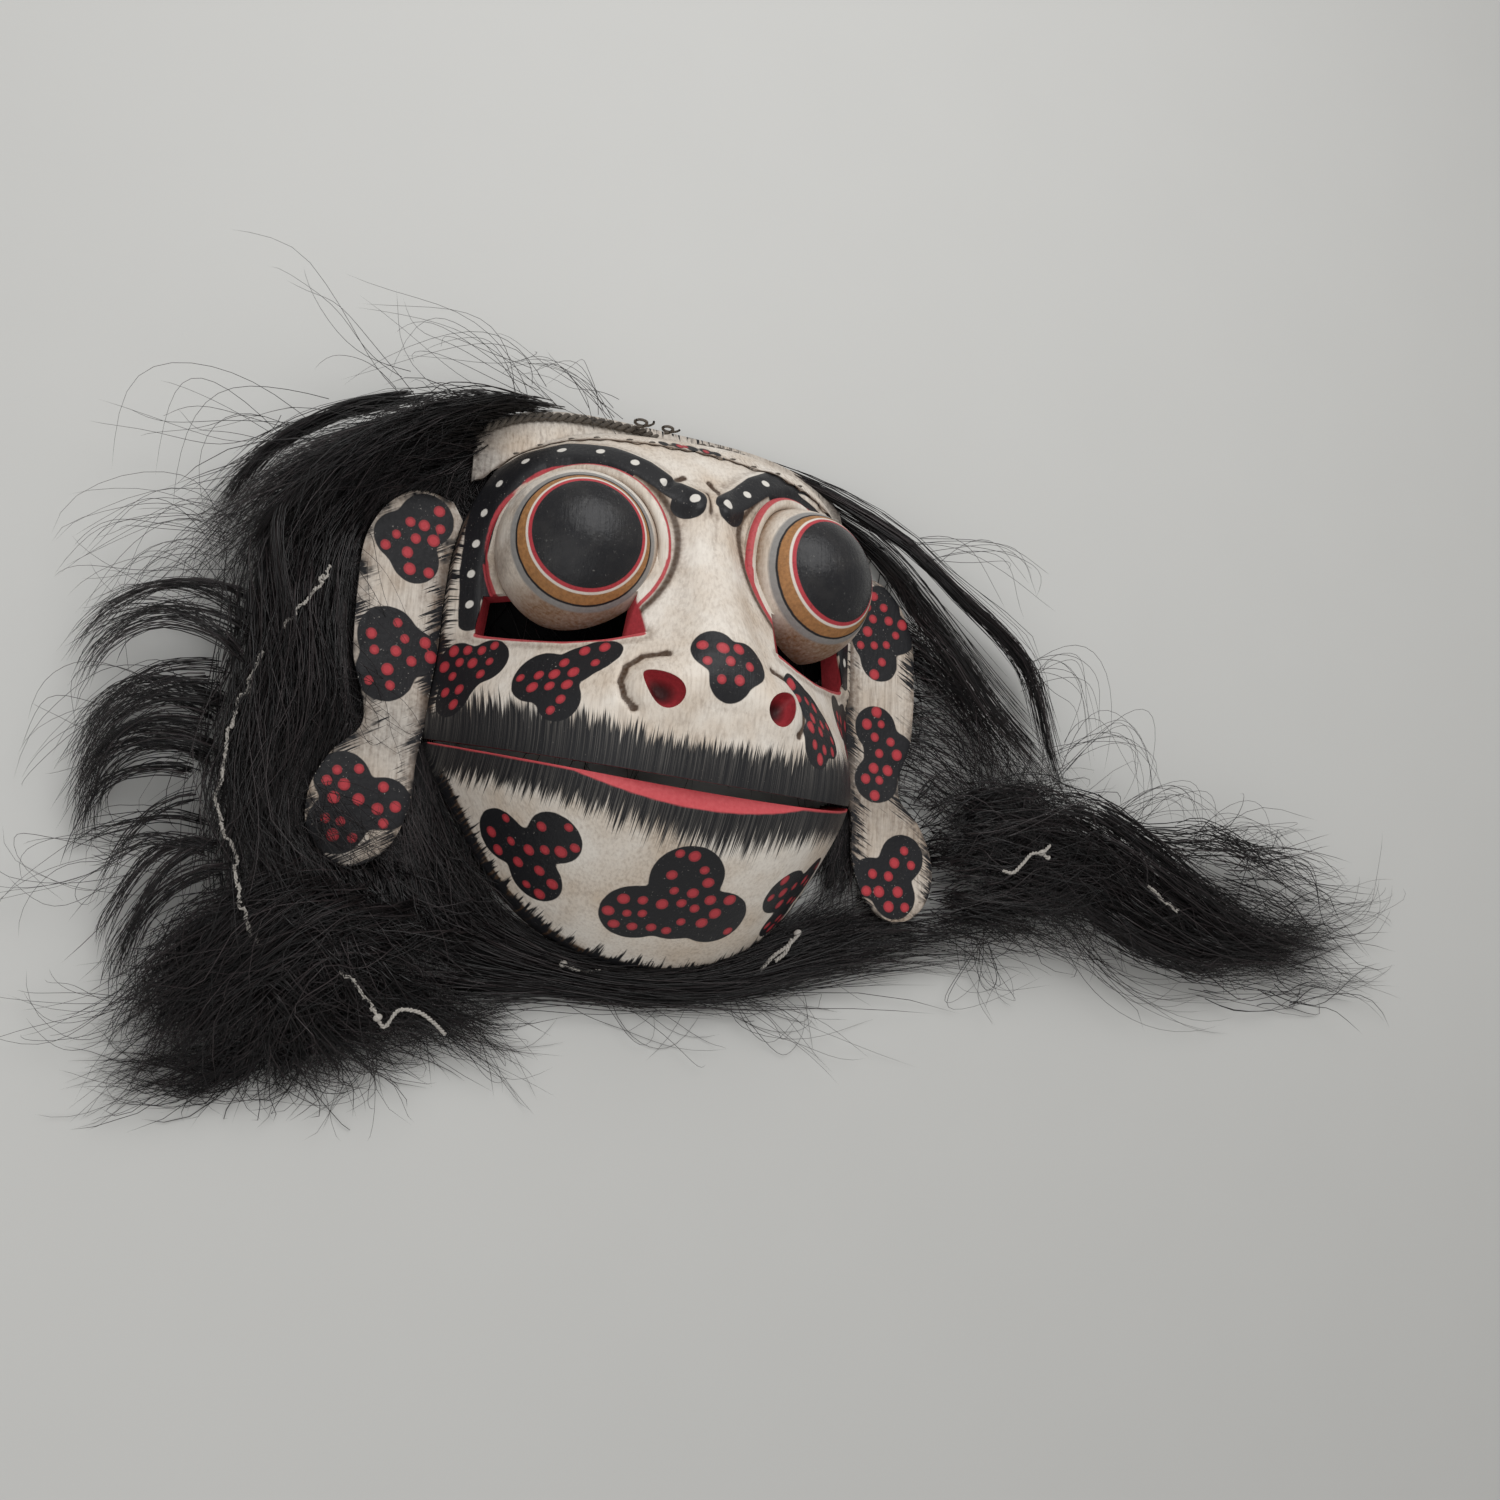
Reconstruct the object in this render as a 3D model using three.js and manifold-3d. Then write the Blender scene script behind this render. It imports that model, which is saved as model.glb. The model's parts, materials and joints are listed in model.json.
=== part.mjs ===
// A frog dance mask lying on its back rim: a carved wooden face and jaw, ears and a crown band
// of thin hide, and long hair spread on the surface that it lies on.
// Millimetres. +Z points out of the face, +Y to the crown, +X to the right as the face is seen.

import * as THREE from 'three';
import { mergeVertices } from 'three/addons/utils/BufferGeometryUtils.js';
import Module from 'manifold-3d';

// Outline of the carved rim, a squared oval about a point on the midline
const TEMPLE_HALF_WIDTH = 88;
const OUTLINE_CENTRE_Y = 40;
const CROWN_REACH = 106;
const CHIN_REACH = 117;
const CROWN_SQUARENESS = 3;
const CHIN_SQUARENESS = 2.22;
const CHEEK_FLARE = 0.07;
const CHEEK_FLARE_REACH = 22;
const RIM_EDGE = 8;
const NOSE_HEIGHT = 86;
const WALL = 8;
const HOLLOW_SINK = 1;

// Midline of the face, as [place up the face, height over the back rim]
const PROFILE = [[-77, 8], [-66, 29], [-52, 46], [-20, 75], [0, 82], [20, NOSE_HEIGHT], [40, 80],
  [62, 70], [86, 60], [108, 50], [124, 40], [137, 26], [146, 8]];
// Fullness of the cross-section, as [place up the face, exponent of the fall to the side]
const FULLNESS = [[-77, 3], [-40, 3.3], [-12, 3.3], [8, 2.5], [18, 2.05], [42, 1.55], [80, 1.75],
  [108, 3], [146, 3]];
// The carver left the right half a little taller than the left, about this height
const LEAN = 0.00072;
const LEAN_Y = 30;

// Eyes
const EYE = { x: 46, y: 77, z: 41, radius: 31.5, hollow: 21 };
const EYE_RIM = { radius: 34, tube: 2.6, turn: 33 * Math.PI / 180 };
const EYE_SLIT = [[79.5, 43.5], [66, 39.5], [52, 36.5], [38, 36.5], [23.5, 39.5], [17.5, 58], [77.5, 60]];
const SLIT_FLOOR = 4;
const SLIT_HEIGHT = 110;

// Brows, as a path on the right half of the face
const BROW = [[7, 99], [14, 104], [24, 113], [36, 120], [50, 123.5], [62, 121], [71, 114], [78, 103],
  [82, 89], [83.5, 72], [83, 48]];
const BROW_RISE = 4;
const BROW_HALF_WIDTH = 6.5;
const HOOD = { x: 68, y: 111, reach: 17, rise: 4 };

// Nose
const RIDGE_RISE = 3.5;
const RIDGE_HALF_WIDTH = [[10, 17], [20, 16], [60, 11], [90, 9], [112, 9]];
const RIDGE_FOOT = [10, 30];
const RIDGE_TOP = [102, 112];
const NOSTRIL_WING = { x: 23, y: 15, reachX: 12, reachY: 13, rise: 4 };
const NOSTRIL = { x: 25, y: 15.5, long: 8.2, short: 6, deep: 9, turn: -25 * Math.PI / 180 };

// Mouth: the lips part along a plane that drops towards the front
const MOUTH_DROP = 0.2345;
const MOUTH_CORNER_Z = 11.4;
const MOUTH_HALF_WIDTH = 94;
const LIP_GAP = { corner: 0.8, middle: 2.6 };
const LOWER_LIP = { halfWidth: 54, tall: 7.5, deep: 6.5 };

// Ears of hide, flat and tilted up a little to the outside
const EAR_EDGE = [[88, 100], [101, 102.5], [113, 94], [119.5, 82], [121.5, 57], [120.5, 32], [115, 4],
  [124, -6], [131, -22], [131, -33], [126, -43], [114, -48.5], [101, -42], [94, -24], [93, -6]];
const EAR = { thickness: 2.4, z: 4.6, rise: 0.06, gap: 0.5, innerTop: 95, innerFoot: 4, innerSteps: 7 };

// Crown band of hide, and the bound cord that holds the hair along its edge
const BAND = { halfWidth: 83, top: 151, droop: 18, thickness: 1.6, gap: 0.6, innerZ: 9.6, outerZ: 4.4 };
const CORD = { diameter: 4, inset: 4, lift: 2.9, points: 15, sides: 8, steps: 26 };

// Hair: each lock lies between two edges on the surface, with a height at each station
const LEFT_FALL = {
  outer: [[-14, 156], [-60, 161], [-100, 152], [-140, 132], [-166, 100], [-178, 60], [-200, 22],
    [-210, -24], [-200, -70], [-194, -112], [-150, -134], [-96, -119], [-58, -101]],
  inner: [[-14, 153], [-58, 150], [-88, 140], [-104, 110], [-123, 90], [-126, 52], [-125, 12],
    [-140, -22], [-138, -47], [-113, -58], [-92, -64], [-73, -72], [-55, -84]],
  height: [6, 20, 30, 36, 36, 30, 24, 24, 30, 38, 32, 22, 8],
};
const CHIN_HANK = {
  outer: [[-46, -97], [0, -93], [45, -89], [84, -78], [118, -71]],
  inner: [[-40, -84], [0, -84], [42, -75], [72, -58], [112, -56]],
  height: [10, 14, 16, 18, 10],
};
const RIGHT_FALL = {
  outer: [[42, 156], [86, 148], [120, 132], [152, 112], [177, 88], [190, 60], [193, 28], [207, 8],
    [202, -30], [166, -62]],
  inner: [[42, 153], [84, 141], [104, 110], [123, 91], [126, 62], [126, 34], [123, 8], [139, -20],
    [138, -40], [126, -56]],
  height: [6, 14, 22, 26, 26, 24, 22, 26, 28, 16],
};
const RIGHT_TAIL = {
  outer: [[188, 14], [235, 7], [285, 2], [340, -4], [376, -19], [394, -31]],
  inner: [[152, -56], [208, -53], [255, -57], [300, -62], [356, -48], [392, -36]],
  height: [24, 28, 26, 20, 12, 4],
};
const HAIR_SKIRT = 1.5;

// Fineness of the facets
const FACE_FACETS = 34;
const JAW_FACETS = 30;
const HOLLOW_FACETS = 14;
const MOUTH_FACETS = [12, 1, 2];
const LIP_ROUNDS = 12;
const BALL_FACETS = { around: 24, down: 12 };
const PIT_FACETS = { around: 14, down: 8 };
const EYE_RIM_FACETS = { across: 6, around: 26 };
const EAR_EDGE_STEPS = 34;
const BAND_FACETS = { along: 28, across: 3 };
const LOCK_FACETS = { along: 22, across: 5 };

const wasm = await Module();
wasm.setup();

const clamp01 = (t) => Math.min(1, Math.max(0, t));

// Smooth curve through [x, y] points: cubic pieces whose slopes average the neighbouring chords.
function smooth(points, x) {
  const last = points.length - 1;
  const chord = (i) => (points[i + 1][1] - points[i][1]) / (points[i + 1][0] - points[i][0]);
  const slope = (i) => {
    if (i === 0) return chord(0);
    if (i === last) return chord(last - 1);
    const before = points[i][0] - points[i - 1][0];
    const after = points[i + 1][0] - points[i][0];
    return (chord(i - 1) * after + chord(i) * before) / (before + after);
  };
  let i = 0;
  while (i < last - 1 && x > points[i + 1][0]) i++;
  const step = points[i + 1][0] - points[i][0];
  const t = clamp01((x - points[i][0]) / step);
  return (2 * t ** 3 - 3 * t ** 2 + 1) * points[i][1] + (t ** 3 - 2 * t ** 2 + t) * step * slope(i)
    + (3 * t ** 2 - 2 * t ** 3) * points[i + 1][1] + (t ** 3 - t ** 2) * step * slope(i + 1);
}

// Shortest distance from a point to a path of straight pieces.
function distanceToPath(x, y, path) {
  let nearest = Infinity;
  for (let i = 1; i < path.length; i++) {
    const [x0, y0] = path[i - 1];
    const [dx, dy] = [path[i][0] - x0, path[i][1] - y0];
    const t = clamp01(((x - x0) * dx + (y - y0) * dy) / (dx * dx + dy * dy));
    nearest = Math.min(nearest, Math.hypot(x - x0 - t * dx, y - y0 - t * dy));
  }
  return nearest;
}

const leanY = (x, y) => y + LEAN * x * (y - LEAN_Y);
const squareness = (y) => (y > OUTLINE_CENTRE_Y ? CROWN_SQUARENESS : CHIN_SQUARENESS);
const reach = (y) => (y > OUTLINE_CENTRE_Y ? CROWN_REACH : CHIN_REACH);
const flare = (y) => 1 + CHEEK_FLARE * Math.exp(-((y / CHEEK_FLARE_REACH) ** 2));

// Half the width of the outline at a place up the face, before and with the flare at the mouth.
function plainHalfWidth(y) {
  const n = squareness(y);
  const up = Math.abs(y - OUTLINE_CENTRE_Y) / reach(y);
  return TEMPLE_HALF_WIDTH * Math.max(1 - up ** n, 0) ** (1 / n);
}
const halfWidth = (y) => plainHalfWidth(y) * flare(y);

// A point of the square [-1, 1] x [-1, 1], rounded to a disc and stretched to the outline.
function onOutline(u, v) {
  const dx = u * Math.sqrt(1 - v * v / 2);
  const dy = v * Math.sqrt(1 - u * u / 2);
  const side = OUTLINE_CENTRE_Y + dy;
  const n = squareness(side);
  const round = Math.hypot(dx, dy);
  const squared = (Math.abs(dx) ** n + Math.abs(dy) ** n) ** (1 / n);
  const stretch = squared > 0 ? round / squared : 1;
  const y = OUTLINE_CENTRE_Y + stretch * dy * reach(side);
  return [stretch * dx * TEMPLE_HALF_WIDTH * flare(y), y];
}

// Height of the plain dome: the midline profile, falling to the rim edge at the outline.
function domeHeight(x, y) {
  const across = clamp01(Math.abs(x) / Math.max(halfWidth(y), 1e-6));
  return RIM_EDGE + (smooth(PROFILE, y) - RIM_EDGE) * (1 - across ** smooth(FULLNESS, y));
}

// Height of the carved face: the dome with the nose ridge, nostril wings, brows and their hoods.
function carvedHeight(x, y) {
  const side = Math.abs(x);
  const ridge = clamp01((y - RIDGE_FOOT[0]) / (RIDGE_FOOT[1] - RIDGE_FOOT[0]))
    * clamp01((RIDGE_TOP[1] - y) / (RIDGE_TOP[1] - RIDGE_TOP[0]))
    / (1 + (side / smooth(RIDGE_HALF_WIDTH, y)) ** 6);
  const wing = Math.exp(-(((side - NOSTRIL_WING.x) / NOSTRIL_WING.reachX) ** 2)
    - ((y - NOSTRIL_WING.y) / NOSTRIL_WING.reachY) ** 2);
  const brow = 1 / (1 + (distanceToPath(side, y, BROW) / BROW_HALF_WIDTH) ** 6);
  const hood = Math.exp(-(((side - HOOD.x) ** 2 + (y - HOOD.y) ** 2) / HOOD.reach ** 2));
  return domeHeight(x, y) + RIDGE_RISE * ridge + NOSTRIL_WING.rise * wing
    + BROW_RISE * brow + HOOD.rise * hood;
}

const partingY = (z) => -MOUTH_DROP * (z - MOUTH_CORNER_Z);
const lipGap = (x) => LIP_GAP.corner
  + (LIP_GAP.middle - LIP_GAP.corner) * Math.max(0, 1 - (x / MOUTH_HALF_WIDTH) ** 2);

// Height of the jaw: the face's surface with the lower lip cut back under the parting line.
function jawHeight(x, y) {
  let lipY = 0;
  for (let i = 0; i < LIP_ROUNDS; i++) lipY = partingY(carvedHeight(x, lipY));
  const tall = LOWER_LIP.tall * Math.max(0, 1 - (x / LOWER_LIP.halfWidth) ** 2);
  const cut = tall > 0 ? clamp01((y - lipY + tall) / tall) * tall / LOWER_LIP.tall : 0;
  return carvedHeight(x, y) - LOWER_LIP.deep * cut;
}

// A closed three.js geometry as a solid that can be joined and cut.
function solid(geometry) {
  geometry.deleteAttribute('normal');
  geometry.deleteAttribute('uv');
  const merged = mergeVertices(geometry);
  return new wasm.Manifold(new wasm.Mesh({
    numProp: 3,
    vertProperties: merged.attributes.position.array,
    triVerts: new Uint32Array(merged.index.array),
  }));
}

// A box from -1 to 1 on each side, with every corner of its facets moved by a function.
function formed(facets, move) {
  const geometry = new THREE.BoxGeometry(2, 2, 2, ...facets);
  const position = geometry.attributes.position;
  for (let i = 0; i < position.count; i++) {
    position.setXYZ(i, ...move(position.getX(i), position.getY(i), position.getZ(i)));
  }
  return solid(geometry);
}

// The block under a height function, flat on the back rim's plane.
function carvedBlock(facets, height) {
  return formed([facets, facets, 1], (u, v, w) => {
    const [x, y] = onOutline(u, v);
    return [x, leanY(x, y), w > 0 ? height(x, y) : 0];
  });
}

// Everything on one side of the mouth's parting surface: above it, or below it by a gap.
function mouthSide(sign, gap) {
  const far = 3 * TEMPLE_HALF_WIDTH;
  return formed(MOUTH_FACETS, (u, v, w) => {
    const x = far * u;
    const z = NOSE_HEIGHT * (0.5 + w);
    return [x, v * sign > 0 ? sign * far : leanY(x, partingY(z) - gap(x)), z];
  });
}

// The hollow of the mask: the plain dome drawn in by the wall, open through the back.
function hollow() {
  const across = 1 - WALL / TEMPLE_HALF_WIDTH;
  const along = 1 - WALL / CROWN_REACH;
  const deep = 1 - WALL / NOSE_HEIGHT;
  return formed([HOLLOW_FACETS, HOLLOW_FACETS, 1], (u, v, w) => {
    const [x, y] = onOutline(u, v);
    const innerX = x * across;
    const innerY = OUTLINE_CENTRE_Y + (y - OUTLINE_CENTRE_Y) * along;
    return [innerX, leanY(innerX, innerY), w > 0 ? deep * domeHeight(x, y) - HOLLOW_SINK : -RIM_EDGE];
  });
}

function ball(side, radius, facets) {
  const x = side * EYE.x;
  const sphere = new THREE.SphereGeometry(radius, facets.around, facets.down).rotateX(Math.PI / 2);
  return solid(sphere.translate(x, leanY(x, EYE.y), EYE.z));
}

function eyeRim(side) {
  const x = side * EYE.x;
  const { across, around } = EYE_RIM_FACETS;
  const ring = new THREE.TorusGeometry(EYE_RIM.radius, EYE_RIM.tube, across, around);
  return solid(ring.rotateY(side * EYE_RIM.turn).translate(x, leanY(x, EYE.y), EYE.z));
}

function eyeSlit(side) {
  const corners = EYE_SLIT.map(([x, y]) => new THREE.Vector2(side * x, leanY(side * x, y)));
  const slot = { depth: SLIT_HEIGHT, bevelEnabled: false };
  return solid(new THREE.ExtrudeGeometry(new THREE.Shape(corners), slot).translate(0, 0, SLIT_FLOOR));
}

function nostril(side) {
  const x = side * NOSTRIL.x;
  const pit = new THREE.SphereGeometry(1, PIT_FACETS.around, PIT_FACETS.down);
  pit.scale(NOSTRIL.long, NOSTRIL.short, NOSTRIL.deep).rotateZ(side * NOSTRIL.turn);
  return solid(pit.translate(x, leanY(x, NOSTRIL.y), carvedHeight(x, NOSTRIL.y)));
}

function faceBody(inside) {
  let body = carvedBlock(FACE_FACETS, carvedHeight).intersect(mouthSide(1, () => 0));
  for (const side of [-1, 1]) {
    body = body.add(eyeRim(side)).subtract(eyeSlit(side)).add(ball(side, EYE.radius, BALL_FACETS));
  }
  body = body.subtract(inside);
  for (const side of [-1, 1]) {
    body = body.subtract(ball(side, EYE.hollow, PIT_FACETS)).subtract(nostril(side));
  }
  return body;
}

function jawBody(inside) {
  return carvedBlock(JAW_FACETS, jawHeight).intersect(mouthSide(-1, lipGap)).subtract(inside);
}

// An ear: a smooth outer edge, and an inner edge that follows the side of the face with a gap.
function earBody(side) {
  const edge = EAR_EDGE.map(([x, y]) => new THREE.Vector2(x, y));
  const inner = [];
  for (let i = 0; i <= EAR.innerSteps; i++) {
    const y = EAR.innerFoot + (EAR.innerTop - EAR.innerFoot) * i / EAR.innerSteps;
    const x = halfWidth(y) + EAR.gap;
    inner.push(new THREE.Vector2(x, leanY(side * x, y)));
  }
  const outline = [...new THREE.SplineCurve(edge).getPoints(EAR_EDGE_STEPS), ...inner];
  const shape = new THREE.Shape(outline.map((p) => new THREE.Vector2(side * p.x, p.y)));
  const plate = new THREE.ExtrudeGeometry(shape, { depth: EAR.thickness, bevelEnabled: false });
  const position = plate.attributes.position;
  for (let i = 0; i < position.count; i++) {
    const rise = EAR.rise * (Math.abs(position.getX(i)) - TEMPLE_HALF_WIDTH);
    position.setZ(i, position.getZ(i) + EAR.z + rise);
  }
  return solid(plate);
}

// The crown band lies between the crown's outline and a flatter outer edge.
const bandEdge = (x) => BAND.top - BAND.droop * (x / BAND.halfWidth) ** 4;
const crownOutline = (x) => leanY(x, OUTLINE_CENTRE_Y + CROWN_REACH
  * (1 - Math.abs(x / TEMPLE_HALF_WIDTH) ** CROWN_SQUARENESS) ** (1 / CROWN_SQUARENESS));

function bandBody() {
  return formed([BAND_FACETS.along, BAND_FACETS.across, 1], (u, v, w) => {
    const x = BAND.halfWidth * Math.sin(u * Math.PI / 2);
    const start = crownOutline(x) + BAND.gap;
    const t = (v + 1) / 2;
    const z = BAND.innerZ + (BAND.outerZ - BAND.innerZ) * t;
    return [x, start + (bandEdge(x) - start) * t, z + (w > 0 ? BAND.thickness : 0)];
  });
}

function cordBody() {
  const points = [];
  for (let i = 0; i < CORD.points; i++) {
    const x = (BAND.halfWidth - CORD.inset) * (2 * i / (CORD.points - 1) - 1);
    const start = crownOutline(x) + BAND.gap;
    const t = 1 - CORD.inset / Math.max(bandEdge(x) - start, CORD.inset);
    const under = BAND.innerZ + (BAND.outerZ - BAND.innerZ) * t + BAND.thickness;
    points.push(new THREE.Vector3(x, bandEdge(x) - CORD.inset, under + CORD.lift));
  }
  const section = new THREE.Shape();
  section.absarc(0, 0, CORD.diameter / 2, 0, 2 * Math.PI);
  return solid(new THREE.ExtrudeGeometry(section, {
    extrudePath: new THREE.CatmullRomCurve3(points),
    steps: CORD.steps,
    curveSegments: CORD.sides / 2,
  }));
}

// A lock of hair: a mound between its two edges, flat underneath and thin at the edges.
function lockBody(lock) {
  const line = (points) => new THREE.SplineCurve(points.map(([x, y]) => new THREE.Vector2(x, y)));
  const [outer, inner] = [line(lock.outer), line(lock.inner)];
  const heights = line(lock.height.map((h, i) => [i, h]));
  return formed([LOCK_FACETS.across, LOCK_FACETS.along, 1], (u, v, w) => {
    const s = (v + 1) / 2;
    const [from, to] = [inner.getPoint(s), outer.getPoint(s)];
    const turned = isClockwise(lock) ? -u : u;
    const at = from.lerp(to, (turned + 1) / 2);
    const mound = HAIR_SKIRT + heights.getPoint(s).y * (1 - u * u);
    return [at.x, at.y, w > 0 ? mound : 0];
  });
}

// Whether walking along the lock has its outer edge on the left.
function isClockwise(lock) {
  const [x0, y0] = lock.inner[0];
  const [x1, y1] = lock.inner[1];
  const [x2, y2] = lock.outer[1];
  return (x1 - x0) * (y2 - y1) - (y1 - y0) * (x2 - x1) > 0;
}

const PAINTED_WOOD = new THREE.MeshStandardMaterial({ color: 0xd9ccb8, roughness: 0.5, metalness: 0 });
const PAINTED_HIDE = new THREE.MeshStandardMaterial({ color: 0xcdbda3, roughness: 0.65, metalness: 0 });
const BOUND_CORD = new THREE.MeshStandardMaterial({ color: 0x6b5c4c, roughness: 0.9, metalness: 0 });
const BLACK_HAIR = new THREE.MeshStandardMaterial({ color: 0x16120f, roughness: 0.55, metalness: 0 });

function piece(name, body, material) {
  const { vertProperties, triVerts } = body.getMesh();
  const geometry = new THREE.BufferGeometry();
  geometry.setAttribute('position', new THREE.BufferAttribute(vertProperties, 3));
  geometry.setIndex(new THREE.BufferAttribute(triVerts, 1));
  geometry.computeVertexNormals();
  const mesh = new THREE.Mesh(geometry, material);
  mesh.name = name;
  return mesh;
}

const inside = hollow();
const laid = new THREE.Group();
laid.add(
  piece('face', faceBody(inside), PAINTED_WOOD),
  piece('jaw', jawBody(inside), PAINTED_WOOD),
  piece('ear_left', earBody(-1), PAINTED_HIDE),
  piece('ear_right', earBody(1), PAINTED_HIDE),
  piece('crown_band', bandBody(), PAINTED_HIDE),
  piece('hair_cord', cordBody(), BOUND_CORD),
  piece('hair_left', lockBody(LEFT_FALL), BLACK_HAIR),
  piece('hair_chin', lockBody(CHIN_HANK), BLACK_HAIR),
  piece('hair_right', lockBody(RIGHT_FALL).add(lockBody(RIGHT_TAIL)), BLACK_HAIR),
);

// The origin is under the middle of the whole part, on the surface that it lies on.
const extent = new THREE.Box3().setFromObject(laid);
const middle = extent.getCenter(new THREE.Vector3());
laid.position.set(-middle.x, -middle.y, -extent.min.z);

const frogMask = new THREE.Group();
frogMask.add(laid);
export default frogMask;
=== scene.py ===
"""Frog dance mask: a carved, painted wooden face with a hinged jaw, hide ears and long loose hair.

Lengths in the shape functions are millimetres in the mask's own frame: x to the right as the face
is seen, y up to the crown, z out of the face, with the back rim on z = 0.
"""

import json
import math
from collections import namedtuple

import bpy
import numpy as np
from mathutils import Matrix


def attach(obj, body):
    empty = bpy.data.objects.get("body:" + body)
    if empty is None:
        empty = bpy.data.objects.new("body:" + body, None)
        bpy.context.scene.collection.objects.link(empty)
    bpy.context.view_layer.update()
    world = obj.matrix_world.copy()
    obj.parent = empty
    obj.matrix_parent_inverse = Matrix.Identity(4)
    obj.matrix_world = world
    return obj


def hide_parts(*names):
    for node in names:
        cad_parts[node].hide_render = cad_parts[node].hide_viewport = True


bl_info = {
    "name": "Frog Dance Mask",
    "version": (1, 0, 0),
    "blender": (4, 5, 0),
    "location": "View3D > Sidebar > Frog Mask",
    "description": "Builds the painted wood, hide and hair of a frog dance mask around its frame",
    "category": "Add Mesh",
}

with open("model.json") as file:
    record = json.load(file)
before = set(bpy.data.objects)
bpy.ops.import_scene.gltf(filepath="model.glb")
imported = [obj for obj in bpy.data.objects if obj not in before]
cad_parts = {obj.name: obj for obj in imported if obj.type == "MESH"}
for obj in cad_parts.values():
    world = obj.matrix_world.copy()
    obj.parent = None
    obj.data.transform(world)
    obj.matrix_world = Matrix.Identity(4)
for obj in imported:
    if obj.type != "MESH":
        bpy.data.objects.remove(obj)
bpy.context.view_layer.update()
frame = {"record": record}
MM = 0.001

# Place of the mask in the frame: its midline and back rim, from the crown's resting face
CROWN_REST_Y = 142.0
CROWN_REST = next(m["pos_m"] for m in frame["record"]["mounts"] if m["name"] == "back_rim_crown")
MASK_ORIGIN = np.array(CROWN_REST) / MM - (0.0, CROWN_REST_Y, 0.0)

# Outline of the carved rim, a squared oval about a point on the midline
TEMPLE_HALF_WIDTH = 88.0
OUTLINE_CENTRE_Y = 40.0
CROWN_REACH, CHIN_REACH = 106.0, 117.0
CROWN_SQUARENESS, CHIN_SQUARENESS = 3.0, 2.22
CHEEK_FLARE, CHEEK_FLARE_REACH = 0.07, 22.0
RIM_EDGE, NOSE_HEIGHT = 8.0, 86.0
LEAN, LEAN_Y = 0.00072, 30.0

# The hollow is the plain dome drawn in by the wall: its shares across, along and up, and its sinking
WALL, HOLLOW_SINK = 8.0, 1.0
HOLLOW_ACROSS, HOLLOW_ALONG = 1 - WALL / TEMPLE_HALF_WIDTH, 1 - WALL / CROWN_REACH
HOLLOW_UP = 1 - WALL / NOSE_HEIGHT

# Midline height and fullness of the cross-section, each as (place up the face, value)
PROFILE = [(-77, 8), (-66, 29), (-52, 46), (-20, 75), (0, 82), (20, NOSE_HEIGHT), (40, 80),
           (62, 70), (86, 60), (108, 50), (124, 40), (137, 26), (146, 8)]
FULLNESS = [(-77, 3), (-40, 3.3), (-12, 3.3), (8, 2.5), (18, 2.05), (42, 1.55), (80, 1.75),
            (108, 3), (146, 3)]

# Carving of the face
EYE = np.array((46.0, 77.0, 41.0))
EYE_RADIUS, EYE_HOLLOW = 31.5, 21.0
EYE_RIM_RADIUS, EYE_RIM_TUBE, EYE_RIM_TURN = 34.0, 2.6, math.radians(33)
SLIT_LOWER = [(23.5, 39.5), (38, 36.5), (52, 36.5), (66, 39.5), (79.5, 43.5)]
SLIT_UPPER = [(17.5, 58), (77.5, 60)]
SLIT_THROAT, SLIT_THROAT_MIDDLE, SLIT_BEVEL = 0.7, 50.0, 11.0
SLIT_FLOOR, SLIT_TOP = 4.0, 114.0
BROW = [(7, 99), (14, 104), (24, 113), (36, 120), (50, 123.5), (62, 121), (71, 114), (78, 103),
        (82, 89), (83.5, 72), (83, 48)]
BROW_RISE, BROW_HALF_WIDTH = 4.0, 6.5
HOOD, HOOD_REACH, HOOD_RISE = (68.0, 111.0), 17.0, 4.0
RIDGE_RISE, RIDGE_FOOT, RIDGE_TOP = 3.5, (10, 30), (112, 102)
RIDGE_HALF_WIDTH = [(10, 17), (20, 16), (60, 11), (90, 9), (112, 9)]
FLAT_TOP = 6
WING, WING_REACH, WING_RISE = (23.0, 15.0), (12.0, 13.0), 4.0
NOSTRIL, NOSTRIL_SIZE, NOSTRIL_TURN = (24.5, 15.8), (9.3, 5.4, 9.5), math.radians(46)
NOSTRIL_TAPER = 0.5
NOSE_GROOVE = [(21, 29.6), (28.3, 28.3), (34, 23.8), (36.3, 17.3), (35.4, 11.1), (32.5, 7)]
GROOVE_DEPTH, GROOVE_HALF_WIDTH = 2.2, 2.0
BROW_CUTS = [[(-17, 105), (-11, 110), (-7, 113)], [(4, 112), (5.5, 106), (3, 99)]]
BRIDGE_CUT = [(3.5, 98), (1.6, 86), (-0.9, 72), (-0.6, 54), (2.4, 37)]
CUT_DEPTH, CUT_HALF_WIDTH, BRIDGE_CUT_SHARE = 1.7, 1.5, 0.22

# Mouth
MOUTH_DROP, MOUTH_CORNER_Z, MOUTH_HALF_WIDTH = 0.2345, 11.4, 94.0
LIP_GAP_CORNER, LIP_GAP_MIDDLE = 0.9, 3.8
LOWER_LIP_MIDDLE, LOWER_LIP_HALF_WIDTH = -4.0, 58.0
LOWER_LIP_TALL, LOWER_LIP_DEEP = 9.6, 6.5
LIP_LINE = 0.7
UPPER_LIP_PAINT = [(0, -1.5), (30, 0), (47, 5), (60, 9), (70, 13), (78, 15.4), (94, 13)]
LOWER_LIP_PAINT = [(0, -37), (16, -36), (31, -32.5), (46, -28), (57, -25), (67, -21.5), (79, -16),
                   (94, -9)]

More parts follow.
